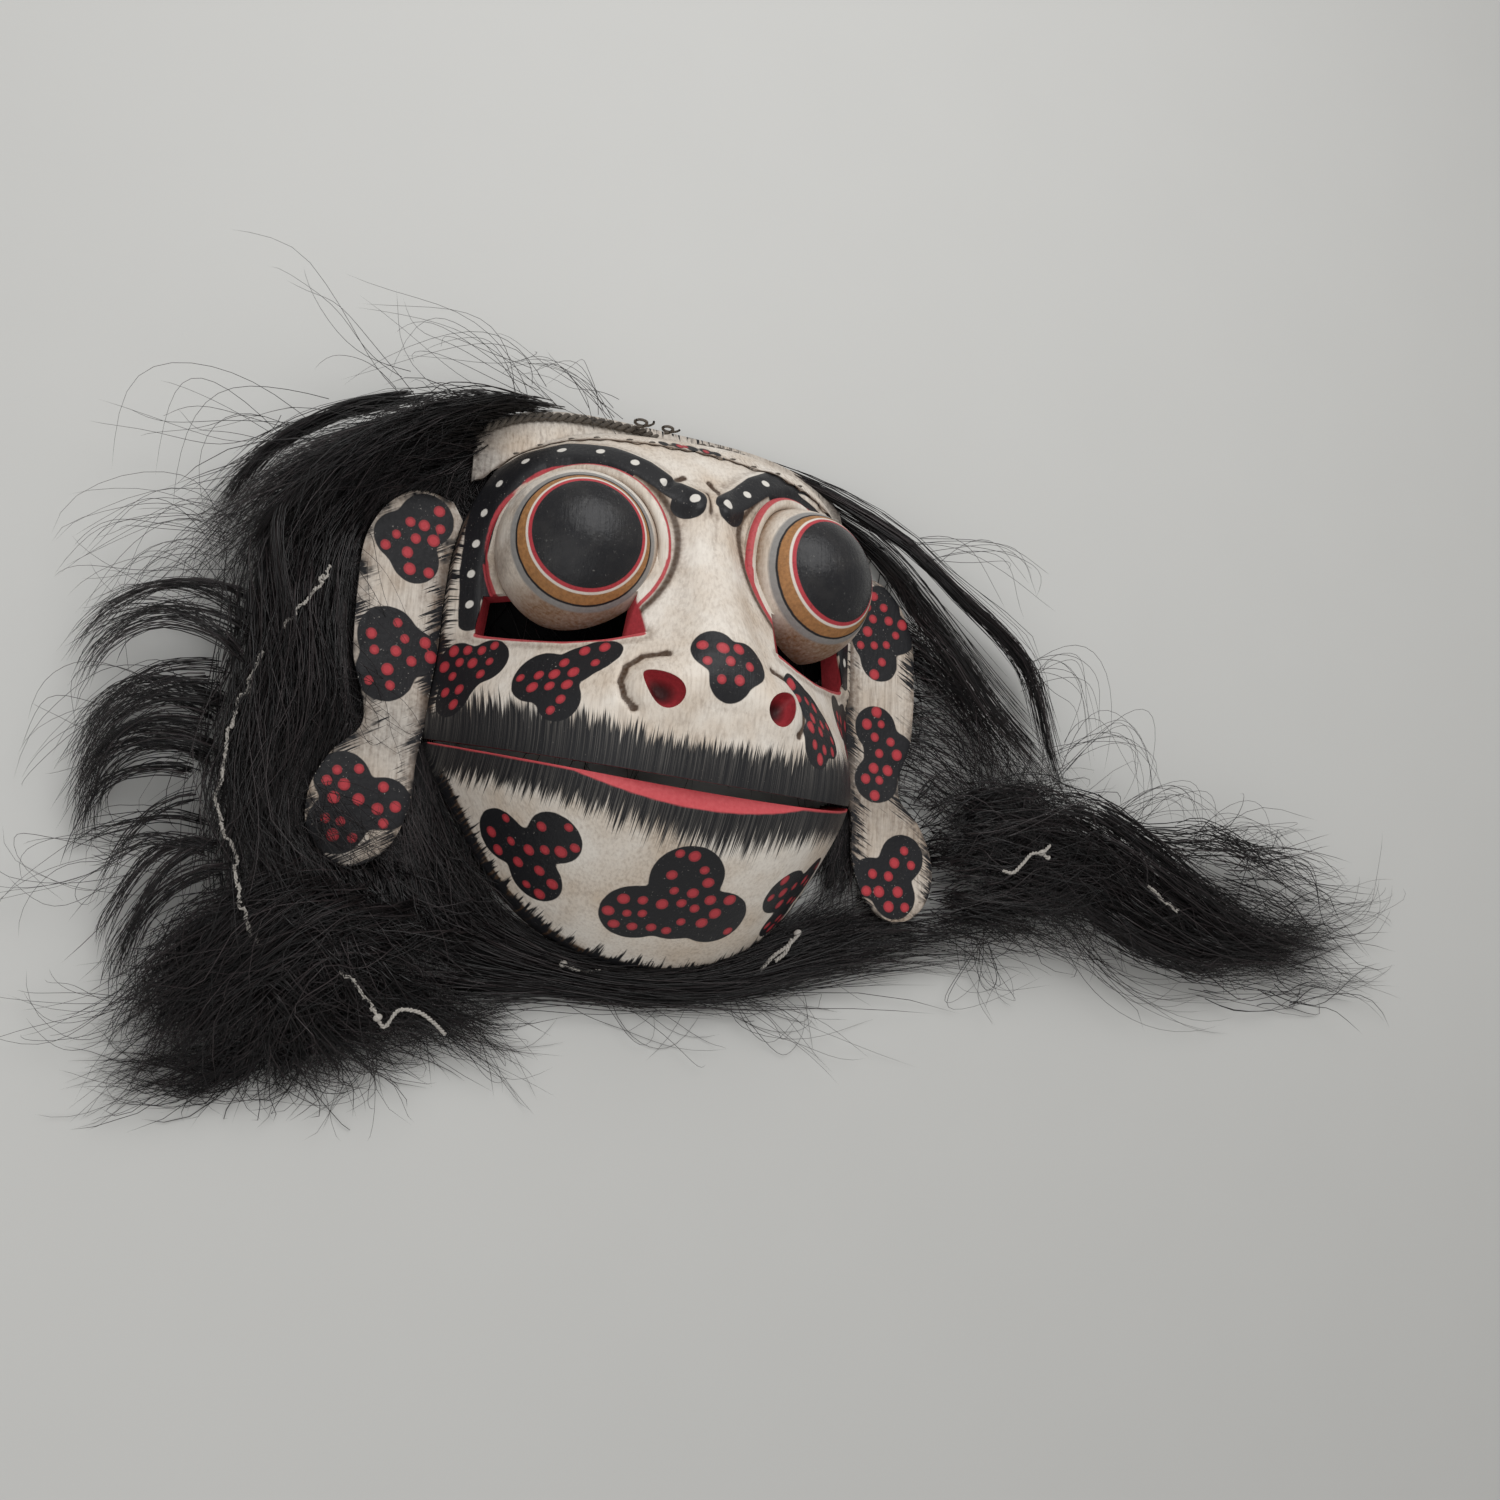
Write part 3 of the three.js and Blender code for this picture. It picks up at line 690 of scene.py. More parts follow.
def painted_wood(paint):
    """Antiqued cream with lips, patches, brows, eyes and rims painted on it, painted shade deep in the
    openings, and bare wood inside.
    """
    tree = Tree("mask_wood")
    ground, fleck = antique_ground(tree, paint, tree.attribute("crease"))
    wobble = edge_wobble(tree)
    black, wear, chip = worn_black(tree, paint, 0.69, 0.7)
    dark_red = scaled(paint.red, 0.5)

    edge = tree.attribute("edge")
    fringe = tree.strokes(tree.attribute("edge_along"), edge, 1.1, 14)
    colour = tree.mix((edge - fringe * 26).below(-9.5, 2.5), ground, black)
    colour, brushed = brushed_lips(tree, paint, colour, chip)
    colour, inked, dot = dotted_patches(tree, paint, colour, black, wobble, wear)
    colour = tree.mix((tree.attribute("white_dot") + wobble * 0.9).below(0, 0.4), colour, paint.white)
    lined = tree.mix(wear.above(0.6, 0.2) * 0.6, paint.red, dark_red)
    colour = tree.mix((tree.attribute("lid") + wobble * 0.5).below(0, 0.4) * 0.95, colour, lined)

    eye, pupil = ringed_eyes(tree, paint, ground, black, lined, wobble, fleck, wear)
    on_ball = tree.attribute("ball").above(0.6, 0.3)
    colour = tree.mix(on_ball, colour, eye)

    depth = tree.attribute("depth")
    # Walls of openings: red paint near the skin, and painted shade that darkens it to near black deeper in
    walls = tree.mix(depth.above(13, 6), tree.mix(fleck, paint.red, dark_red), scaled(paint.red, 0.1))
    colour = tree.mix(depth.above(0.7, 0.5), colour, walls)
    lens = tree.attribute("lens") + wobble * 0.02
    lip_red = tree.mix(fleck.above(0.5, 0.4) * 0.5, paint.lip_red, paint.red)
    colour = tree.mix(lens.above(0.05, 0.06), colour, lip_red)
    raw = tree.attribute("raw").above(0.92, 0.1)
    wood_grain = tree.noise(tree.places(FINE_STREAKS), 5)
    colour = tree.mix(raw, colour, tree.mix(wood_grain, scaled(paint.wood, 0.5), paint.wood))

    roughness = 0.5 + (fleck - 0.5) * 0.25 - inked * 0.06 + raw * 0.3 - pupil * on_ball * 0.22
    relief = tree.grain(2.2, 4) * 0.6 + inked * 0.25 + dot.below(0, 0.6) * 0.25
    relief = relief + wood_grain * 0.35 + brushed * 0.2
    return tree.finish(colour, roughness, tree.bump(relief, PAINT_RELIEF), Specular_IOR_Level=0.3)


def painted_hide(paint):
    """Thin painted hide: cream with brown grain, dirty worn edges, painted shade beside the face on the ears,
    patches and dots.
    """
    tree = Tree("mask_hide")
    ground, fleck = antique_ground(tree, paint, tree.attribute("crease"))
    fibre = tree.noise(tree.places((0.9, 0.1, 0.4)), 5)
    ground = tree.mix(((fibre - 0.46) * 3 * fleck).clamped(), ground, paint.patina)
    wobble = edge_wobble(tree)
    black, wear, _ = worn_black(tree, paint, 0.68, 0.8)
    edge = tree.attribute("edge")
    ground = tree.mix(tree.attribute("smudge") * (0.4 + fleck), ground, paint.smudge)
    fringe = tree.strokes(tree.attribute("edge_along"), edge, 0.8, 12)
    here = tree.grain(15).above(0.5, 0.12)
    colour = tree.mix((edge - fringe * 30).below(-11.5, 1.5) * here, ground, black)
    colour, inked, dot = dotted_patches(tree, paint, colour, black, wobble, wear)
    chipped = (edge + (wear - 0.5) * 5).below(-0.6, 0.5)
    colour = tree.mix(chipped, colour, scaled(paint.cream, 0.8))
    roughness = 0.6 + (fleck - 0.5) * 0.3 - inked * 0.08
    relief = tree.grain(1.8, 5) * 0.6 + fibre * 0.4 + inked * 0.2 + dot.below(0, 0.6) * 0.2
    return tree.finish(colour, roughness, tree.bump(relief, PAINT_RELIEF), Specular_IOR_Level=0.2)


def loose_hair(hair):
    """Black hair with a brown cast that differs from strand to strand; a core, of negative tone, is matt."""
    tree = Tree("mask_hair")
    tone = tree.attribute("tone")
    colour = tree.mix(tone.clamped(), hair.colour, hair.brown)
    roughness = 0.3 + tone.below(-0.5, 0.2) * 0.64
    return tree.finish(colour, roughness, Specular_IOR_Level=0.38)


def cotton(name, colour, dark):
    """Twisted cotton: pale ridges and darker hollows, matt; the dark in the fuzz's hollows is dirt with
    painted shade.
    """
    tree = Tree(name)
    fuzz = tree.grain(0.7, 4)
    return tree.finish(tree.mix(fuzz, dark, colour), 0.9, tree.bump(fuzz, 0.3))


# Paint laid out on the surface

# Distance that stands for nowhere near
FAR = 99.0
# Jitter of a dot's place and least distance between dots, as shares of their spacing
DOT_JITTER, DOT_CLEARANCE = 0.1, 0.78
# Directions that the pupils and the rings around them face
PUPIL_AXES = ((-0.155, -0.055, 0.986), (0.275, 0.03, 0.961))
RING_AXES = ((-0.185, -0.105, 0.977), (0.235, -0.02, 0.972))
# Red line and black band of the lid, measured out from the eyeball's middle, the band's span in degrees,
# and the reach of the lid
LID_RADIUS, LID_LIFT, LID_HALF_WIDTH = 36.2, 1.2, 0.95
LID_BLACK, LID_BLACK_FROM, LID_BLACK_TO, LID_OUTER = 2.4, -38, 118, 48
# Below this height from the eye's middle the red line runs on down the socket for a reach each way
LID_TURN_Y, LID_REACH = -4.0, 14.0
# Heights below the eye's middle between which the eyeball grows darker towards its bottom
DARKENING_FROM, DARKENING_TO = 17, 26
# Lower edge of the sight slit that has a red line, half the line's width, and how fast painted shade deepens
# in nostrils
SLIT_EDGE = [(27.5, 38.6), *SLIT_LOWER[1:-1], (78, 43)]
SLIT_LINE, NOSTRIL_REACH, NOSTRIL_SHADE = 0.9, 12, 1.65
# Distance at which the skin's hollowness is felt for, and the dirt for each millimetre of it
CREASE_REACH, CREASE_SLANT, CREASE_DIRT = 2.2, 1.6, 1.5
# Middle of the brow's black paint, drawn in from the carved brow at the temple, half its width as
# (place up the face, value), its round head and its dots
BROW_LINE = [(x - 2.4 * ramp(y, 110, 94) * (x > 40), y) for x, y in BROW]
BROW_INK = [(48, 3.4), (80, 4), (104, 5.2), (124, 5.6)]
BROW_HEAD = (9.0, 97.0, 6.4)
BROW_DOT_SPACING, BROW_DOT_RADIUS, BROW_HEAD_DOT = 13.4, 1.75, 1.25


def patch_distance(x, y, z, lobes, height):
    """Signed distance to lobes run softly together, each a ball about a point of the surface."""
    total = np.zeros(x.shape)
    for cx, cy, radius in lobes:
        distance = np.sqrt((x - cx) ** 2 + (y - cy) ** 2 + (z - height_at(height, cx, cy)) ** 2) - radius
        total += np.exp(-np.clip(distance, -60, 60) / LOBE_BLEND)
    return -LOBE_BLEND * np.log(np.maximum(total, 1e-30))


def patch_dots(rng, lobes, height, spacing, radius):
    """Dots of a patch: a jittered hexagonal lattice on the plane that touches the surface at its
    middle, dropped onto the surface and kept where it falls well inside the patch."""
    mx, my = np.mean([lobe[:2] for lobe in lobes], 0)
    z0, zx, zy = height(np.array([mx, mx + 1, mx]), np.array([my, my, my + 1]))
    across = np.array((1, 0, zx - z0)) / math.hypot(1, zx - z0)
    up = np.array((0, 1, zy - z0)) / math.hypot(1, zy - z0)
    i, j = (g.ravel() for g in np.meshgrid(np.arange(-5, 6), np.arange(-5, 6)))
    a = spacing * (i + 0.5 * (j % 2)) + rng.normal(0, spacing * DOT_JITTER, i.shape)
    b = spacing * 0.87 * j + rng.normal(0, spacing * DOT_JITTER, i.shape)
    x, y = (middle + a * across[k] + b * up[k] for k, middle in enumerate((mx, my)))
    z = height(x, y)
    inside = patch_distance(x, y, z, lobes, height) < -radius - 0.1
    sizes = radius * rng.uniform(0.8, 1.15, i.shape)
    kept = []
    for dot in np.stack([x, y, z, sizes], -1)[inside]:
        if all(np.linalg.norm(dot[:3] - other[:3]) > DOT_CLEARANCE * spacing for other in kept):
            kept.append(dot)
    return kept


def dots_distance(x, y, z, dots):
    """Signed distance to the nearest dot, each a ball."""
    nearest = np.full(x.shape, FAR)
    for cx, cy, cz, radius in dots:
        distance = np.sqrt((x - cx) ** 2 + (y - cy) ** 2 + (z - cz) ** 2) - radius
        nearest = np.minimum(nearest, distance)
    return nearest


def patch_paint(x, y, z, patches, height, rng, carving):
    """Signed distances to painted patches and to the dots on them."""
    ink, dots = np.full(x.shape, FAR), []
    for lobes in patches:
        ink = np.minimum(ink, patch_distance(x, y, z, lobes, height))
        dots += patch_dots(rng, lobes, height, carving.dot_spacing / MM, carving.dot_radius / MM)
    return ink, dots_distance(x, y, z, dots)


def brow_dots(spacing, radius):
    """White dots: even steps along each brow, and one in its round head."""
    path = along_path(BROW_LINE, 200)
    length = path_lengths(path)
    at = np.arange(0, length[-1] - 4, spacing)
    x, y = (np.interp(at, length, column) for column in path.T)
    sizes = np.where(at == 0, BROW_HEAD_DOT, 1) * radius
    sides = [np.stack([side * x, y, carved_height(side * x, y), sizes], -1) for side in (-1, 1)]
    return np.concatenate(sides)


def eye_paint(x, y, z, side, look, rings):
    """Paint around one eye, at each vertex: whether it is on the ball, its angles from the pupil's and
    the rings' axes, its darkening (towards its bottom, and painted shade by the lid), its distance to
    the lid's red line, the black beyond, and the dirt in the lid's crease. The red line is wider to the left."""
    offset = np.stack([x, y, z], -1) - eye_centre(side)
    distance = np.linalg.norm(offset, axis=1)
    on_ball = np.abs(distance - EYE_RADIUS) < 0.2
    angles = []
    for axis in (look, rings):
        facing = offset @ (np.array(axis) / np.linalg.norm(axis)) / EYE_RADIUS
        angles.append(np.where(on_ball, np.degrees(np.arccos(np.clip(facing, -1, 1))), 90))
    outward = np.array((side * math.sin(EYE_RIM_TURN), 0, math.cos(EYE_RIM_TURN)))
    along = offset @ outward
    across = np.linalg.norm(offset - along[:, None] * outward, axis=1)
    turn = np.degrees(np.arctan2(offset[:, 1], side * offset[:, 0]))
    socket = np.maximum(np.abs(along) - LID_REACH, 0)
    beside = np.where(offset[:, 1] > LID_TURN_Y, along - LID_LIFT, socket)
    wide = LID_HALF_WIDTH * (1.2 - 0.45 * offset[:, 0] / EYE_RADIUS)
    lid = np.where(on_ball, 9, np.hypot(across - LID_RADIUS, beside) - wide)
    black = np.abs(across - LID_RADIUS - LID_BLACK) - LID_BLACK
    near = distance < LID_OUTER
    black = np.where((turn > LID_BLACK_FROM) & (turn < LID_BLACK_TO) & near, black, FAR)
    dirt = 0.9 * bell(across - LID_RADIUS - 2.6, 2.1) * (np.abs(turn) > 115) * near
    # The ball grows darker towards its bottom, and painted shade darkens its border by the lid
    low = ramp(-offset[:, 1], DARKENING_FROM, DARKENING_TO)
    stain = np.where(on_ball, np.maximum(low, 0.9 * bell(along - 1.0, 3.6)), 0)
    return on_ball, distance, angles, stain, lid, black, dirt


def lip_paint(x, y):
    """Share of the way from the parting line to the outer edge of the lips' black, and the place along
    the mouth from its middle, measured over the skin."""
    side, lip = np.abs(x), lip_y(x)
    upper = (y - lip) / (smooth(UPPER_LIP_PAINT, side) - lip)
    lower = (lip - y) / (lip - smooth(LOWER_LIP_PAINT, side))
    steps = np.linspace(0, MOUTH_HALF_WIDTH, 200)
    rise = np.gradient(carved_height(steps, lip_y(steps)), steps)
    arc = np.concatenate([[0], np.cumsum(np.hypot(1, rise)[1:] * np.diff(steps))])
    return np.where(y > lip - 0.3, upper, lower), np.sign(x) * np.interp(side, steps, arc)


def lens_paint(x, y, z, outside):
    """Red of the lower lip: its bevel, and a thin line along the rest of the jaw's edge."""
    edge_line = 0.1 * np.clip(1 - (lip_y(x) - lip_gap(x) - y) / LIP_LINE, 0, 1)
    return np.where(outside > 0.4, np.maximum(lower_lip(x, y) * (z > 30), edge_line), 0)


def hollowness(x, y, height):
    """How far the surface lies below the mean of eight places around."""
    a, b = CREASE_REACH, CREASE_SLANT
    around = [(a, 0), (-a, 0), (0, a), (0, -a), (b, b), (-b, b), (b, -b), (-b, -b)]
    return np.mean([height(x + dx, y + dy) for dx, dy in around], 0) - height(x, y)


def wooden_paint(target, height, carving, seed):
    """All that the paint needs at each vertex of the face or the jaw: signed distances in
    millimetres to patches, dots and rims, strokes' places, and which surface the vertex is on."""
    x, y, real_y, z = mask_points(target)
    side_x = np.abs(x)
    outside = inset(x, y)
    depth = np.where(outside < 0.4, 0, np.maximum(height(x, y) - z, 0))
    raw = ((z < hollow_height(x, y) + 0.15) & (outside > 1) | (z < 0.05)).astype(float)
    ball, ring, pupil = np.zeros(x.shape), np.full(x.shape, 90.0), np.full(x.shape, 90.0)
    lid, stain, lid_black = np.full(x.shape, 9.0), np.zeros(x.shape), np.full(x.shape, FAR)
    crease = np.clip(hollowness(x, y, height) * CREASE_DIRT, 0, 1)
    for side, look, rings in zip((-1, 1), PUPIL_AXES, RING_AXES):
        on_ball, distance, angles, stained, red, black, dirt = eye_paint(x, real_y, z, side, look, rings)
        raw[distance < EYE_HOLLOW + 0.3] = 1
        ball[on_ball] = 1
        depth[on_ball] = 0
        pupil, ring = np.minimum(pupil, angles[0]), np.minimum(ring, angles[1])
        stain, lid = np.maximum(stain, stained), np.minimum(lid, red)
        lid_black, crease = np.minimum(lid_black, black), np.maximum(crease, dirt)
    from_slit = distance_to_path(side_x, y, SLIT_EDGE)
    lid = np.where(depth < 2, np.minimum(lid, from_slit - SLIT_LINE), lid)
    crease = np.maximum(crease, 0.5 * bell(from_slit - 2.6, 1.4))
    crease = np.maximum(crease, 0.95 * bell(distance_to_path(side_x, y, NOSE_GROOVE), 1.15))
    # Painted shade deepens sooner with depth inside the nostrils
    in_nostril = np.hypot(side_x - NOSTRIL[0], y - NOSTRIL[1]) < NOSTRIL_REACH
    depth = np.where(in_nostril, NOSTRIL_SHADE * depth, depth)
    rng = np.random.default_rng(seed)
    ink, red_dot = patch_paint(x, y, z, FACE_PATCHES, height, rng, carving)
    brow = distance_to_path(side_x, y, BROW_LINE) - smooth(BROW_INK, y)
    head = np.hypot(side_x - BROW_HEAD[0], y - BROW_HEAD[1]) - BROW_HEAD[2]
    brow = np.minimum(np.minimum(brow, head), lid_black)
    ink = np.minimum(ink, np.where(depth < 3, brow, FAR))
    lip, lip_along = lip_paint(x, y)
    edge = np.hypot(outside, np.maximum(z - RIM_EDGE, 0) * 0.8)
    set_values(
        target, depth=depth, raw=raw, ball=ball, ring=ring, pupil=pupil, lid=lid, stain=stain, ink=ink,
        red_dot=red_dot, crease=crease, lip=lip, lip_along=lip_along,
        lens=lens_paint(x, y, z, outside) if height is jaw_height else 0 * x,
        white_dot=dots_distance(x, y, z, brow_dots(BROW_DOT_SPACING, BROW_DOT_RADIUS)),
        edge=np.where(y > 100, 30, edge), edge_along=np.arctan2(y - OUTLINE_CENTRE_Y, x) * 100,
    )


# Carved pieces

def carved_block(divisions, height):
    """The block under a height function: a gridded square rounded to the outline, flat below."""
    def move(u, v, w):
        x, y = on_outline(u, v)
        return x, lean(x, y), np.where(w > 0, height(x, y), 0)
    return box_surface((divisions, divisions, 1), move)


def mouth_side(sign, gap):
    """Everything on one side of the mouth's parting surface: above it, or below it by a gap."""
    far = 3 * TEMPLE_HALF_WIDTH

    def move(u, v, w):
        x, z = far * u, NOSE_HEIGHT * (0.5 + w)
        return x, np.where(v * sign > 0, sign * far, lean(x, parting_y(z) - gap(x))), z
    return box_surface((48, 1, 12), move)


def hollow_block(divisions):
    """The hollow of the mask: the plain dome drawn in by the wall, open through the back."""
    def move(u, v, w):
        x, y = on_outline(u, v)
        inner_x, inner_y = x * HOLLOW_ACROSS, OUTLINE_CENTRE_Y + (y - OUTLINE_CENTRE_Y) * HOLLOW_ALONG
        top = HOLLOW_UP * dome_height(x, y) - HOLLOW_SINK
        return inner_x, lean(inner_x, inner_y), np.where(w > 0, top, -RIM_EDGE)
    return box_surface((divisions, divisions, 1), move)


def eye_rim(side):
    """A ring about the eyeball, turned outward: a circle carried round a larger circle."""
    around, across = 150, 20
    a, b = (g.ravel() for g in np.meshgrid(
        *(np.linspace(0, 2 * math.pi, n, endpoint=False) for n in (around, across)), indexing="ij"))
    out = EYE_RIM_RADIUS + EYE_RIM_TUBE * np.cos(b)
    x, y, z = out * np.cos(a), out * np.sin(a), EYE_RIM_TUBE * np.sin(b)
    c, s = math.cos(side * EYE_RIM_TURN), math.sin(side * EYE_RIM_TURN)
    turned = np.stack([x * c + z * s, y, z * c - x * s], -1)
    return turned + eye_centre(side), ring_faces(around, across, True)[:, ::-1]


def eye_slit(side):
    """The sight slit: straight lines from the lower lid to a line behind the eyeball, along z, with
    each end drawn in to a narrower throat below the skin. The lowest third of the levels is the throat,
    the next its bevel, and the last stands clear of the face."""
    steps, clear = 40, 2
    lower, upper = along_path(SLIT_LOWER, steps), along_path(SLIT_UPPER, steps)
    skin = carved_height(*lower.T)

    def move(u, v, w):
        at = (side * u + 1) / 2 * (steps - 1)
        t = (v + 1) / 2
        x0, y0, x1, y1, top = (np.interp(at, np.arange(steps), c) for c in (*lower.T, *upper.T, skin))
        level = (w + 1) / 2 * 3
        throat = SLIT_FLOOR + (top - SLIT_BEVEL - SLIT_FLOOR) * level
        bevel = top - SLIT_BEVEL + (SLIT_BEVEL + clear) * (level - 1)
        above = top + clear + (SLIT_TOP - top - clear) * (level - 2)
        z = np.select([level <= 1, level <= 2], [throat, bevel], above)
        open_share = SLIT_THROAT + (1 - SLIT_THROAT) * np.clip(level - 1, 0, 1)
        x = SLIT_THROAT_MIDDLE + (x0 + (x1 - x0) * t - SLIT_THROAT_MIDDLE) * open_share
        return side * x, lean(side * x, y0 + (y1 - y0) * t), z
    return box_surface((steps - 1, 6, 60), move)


def nostril_pit(side):
    """A pit about a point of the skin: an ellipsoid that narrows to its upper end, turned about z."""
    points, faces = ball_surface((0, 0, 0), NOSTRIL_SIZE, 16)
    points[:, 1] *= 1 - side * NOSTRIL_TAPER * points[:, 0] / NOSTRIL_SIZE[0]
    c, s = math.cos(side * NOSTRIL_TURN), math.sin(side * NOSTRIL_TURN)
    x, y = side * NOSTRIL[0], NOSTRIL[1]
    middle = (x, lean(x, y), height_at(carved_height, x, y))
    return points @ np.array(((c, s, 0), (-s, c, 0), (0, 0, 1))) + middle, faces


# Settings that a user would change

def colour_property(name, description, default):
    """A colour that a user would change."""
    return bpy.props.FloatVectorProperty(name=name, description=description, default=default,
                                         subtype="COLOR", size=3, min=0.0, max=1.0)


class FrogMaskPaint(bpy.types.PropertyGroup):
    """Colours of the paint and of what shows under it."""
    cream: colour_property("Cream", "Ground paint of the face, jaw and ears", (0.77, 0.715, 0.645))
    aged_cream: colour_property("Aged cream", "Ground paint where it has yellowed", (0.59, 0.49, 0.39))
    patina: colour_property("Patina", "Brown dirt in creases and scratches", (0.115, 0.058, 0.028))
    smudge: colour_property("Smudge", "Grey dirt on the hide band", (0.10, 0.085, 0.075))
    black: colour_property("Black", "Patches, brows, lips and pupils", (0.0125, 0.0125, 0.0145))
    red: colour_property("Red", "Dots, rims and the walls of openings", (0.46, 0.045, 0.057))
    lip_red: colour_property("Lip red", "Paler red of the lower lip", (0.60, 0.085, 0.095))
    ochre: colour_property("Ochre", "Ring around each pupil", (0.40, 0.19, 0.07))
    grey: colour_property("Grey", "Outer ring around each pupil", (0.27, 0.26, 0.25))
    white: colour_property("White", "Dots on the brows", (0.70, 0.67, 0.62))
    wood: colour_property("Wood", "Bare wood inside the mask", (0.15, 0.09, 0.045))


class FrogMaskCarving(bpy.types.PropertyGroup):
    """Fineness of the carved surfaces and size of the painted dots."""
    face_divisions: bpy.props.IntProperty(name="Face divisions", description="Grid steps across the face",
                                          default=290, min=60, max=330)
    jaw_divisions: bpy.props.IntProperty(name="Jaw divisions", description="Grid steps across the jaw",
                                         default=270, min=60, max=330)
    dot_spacing: bpy.props.FloatProperty(name="Dot spacing", description="Distance between red dots",
                                         default=0.0071, min=0.004, max=0.02, unit="LENGTH")
    dot_radius: bpy.props.FloatProperty(name="Dot radius", description="Radius of a red dot",
                                        default=0.0022, min=0.001, max=0.005, unit="LENGTH")


class FrogMaskHair(bpy.types.PropertyGroup):
    """Look and fullness of the hair."""
    colour: colour_property("Black hair", "Colour of most strands", (0.0042, 0.0038, 0.0042))
    brown: colour_property("Brown hair", "Colour of the lightest strands", (0.047, 0.037, 0.038))
    thickness: bpy.props.FloatProperty(name="Strand thickness",
                                       description="Thickness of a strand at its root",
                                       default=0.00048, min=0.0001, max=0.002, unit="LENGTH")
    fullness: bpy.props.FloatProperty(name="Fullness", description="Share of the strands that are made",
                                      default=1.0, min=0.05, max=1.5, subtype="FACTOR")
    seed: bpy.props.IntProperty(name="Seed", description="Start of the random draws", default=7, min=0)


class FrogMaskStage(bpy.types.PropertyGroup):
    """Floor, light and camera."""
    floor: colour_property("Floor", "Colour of the floor", (0.55, 0.55, 0.535))
    lens: bpy.props.FloatProperty(name="Lens", description="Focal length on a 36 mm sensor", default=36.175,
                                  min=10, max=200, unit="CAMERA")
    key_power: bpy.props.FloatProperty(name="Key light",
                                       description="Power of the soft light above the crown",
                                       default=7.0, min=0, max=100, unit="POWER")
    ambient: bpy.props.FloatProperty(name="Ambient", description="Strength of the light from all round",
                                     default=0.42, min=0, max=5)


# Camera of the photograph in the mask's frame: its place in millimetres and its three axes
CAMERA_PLACE = (-200.43, -130.17, 566.39)
CAMERA_AXES = ((0.91103581, 0.04338729, 0.41003816), (-0.13485358, 0.97111191, 0.19686587),
               (-0.38965146, -0.23464697, 0.89056866))
# Places of the lights and the point that they face, in millimetres, their sizes in metres, and the fill
# light's share of the key light's power
LIGHT_AIM = (40, 20, 20)
KEY_PLACE, KEY_SIZE = (40, 620, 900), 1.0
FILL_PLACE, FILL_SIZE, FILL_SHARE = (-500, -420, 800), 1.2, 0.35
ROOM_LIGHT = (1.0, 0.99, 0.97, 1.0)
# Reach and height of the floor in millimetres, and the shade and roughness of its faint specks
FLOOR_REACH, FLOOR_Z, FLOOR_SPECK, FLOOR_SHADE, FLOOR_ROUGHNESS = 3000.0, -0.3, 60, 0.97, 0.6


def area_light(name, place_mm, size, power):
    """A round soft light turned to the mask."""
    light = bpy.data.lights.new(name, "AREA")
    light.shape, light.size, light.energy = "DISK", size, power
    made = bpy.data.objects.new(name, light)
    start, end = (np.array(p) + MASK_ORIGIN for p in (place_mm, LIGHT_AIM))
    back = (start - end) / np.linalg.norm(start - end)
    side = np.cross((0.0, 1.0, 0.1), back)
    side /= np.linalg.norm(side)
    turn = Matrix(np.stack([side, np.cross(back, side), back], 1)).to_4x4()
    made.matrix_world = Matrix.Translation(start * MM) @ turn
    bpy.context.scene.collection.objects.link(made)


class FROGMASK_OT_stage(bpy.types.Operator):
    """Floor, soft light and a camera at the photograph's viewing angle"""
    bl_idname = "frogmask.stage"
    bl_label = "Stage"

    def execute(self, context):
        settings = context.scene.frog_mask_stage
        t = np.array((-FLOOR_REACH, FLOOR_REACH))
        x, y = np.meshgrid(t, t, indexing="ij")
        points = np.stack([x.ravel(), y.ravel(), np.full(4, FLOOR_Z)], -1)
        floor = new_object("floor", (points, np.array([[0, 2, 3, 1]])))
        tree = Tree("floor")
        speck = tree.grain(FLOOR_SPECK, 5)
        colour = tree.mix(speck, scaled(settings.floor, FLOOR_SHADE), settings.floor)
        floor.data.materials.append(tree.finish(colour, FLOOR_ROUGHNESS))
        area_light("key_light", KEY_PLACE, KEY_SIZE, settings.key_power)
        area_light("fill_light", FILL_PLACE, FILL_SIZE, settings.key_power * FILL_SHARE)
        world = bpy.data.worlds.new("soft_room")
        world.use_nodes = True
        background = world.node_tree.nodes["Background"]
        background.inputs["Color"].default_value = ROOM_LIGHT
        background.inputs["Strength"].default_value = settings.ambient
        context.scene.world = world
        context.scene.view_settings.view_transform = "Standard"
        camera = bpy.data.cameras.new("camera")
        camera.lens, camera.sensor_width, camera.clip_start = settings.lens, 36.0, 0.01
        made = bpy.data.objects.new("camera", camera)
        turn = Matrix(CAMERA_AXES).transposed().to_4x4()
        made.matrix_world = Matrix.Translation((np.array(CAMERA_PLACE) + MASK_ORIGIN) * MM) @ turn
        context.scene.collection.objects.link(made)
        context.scene.camera = made
        return {"FINISHED"}


# Grid steps of the hollow and of the eyeballs outside and inside, and the start of the dots' draws
HOLLOW_STEPS, EYE_STEPS, EYE_HOLLOW_STEPS = 70, 60, 14
FACE_DOT_SEED = 3


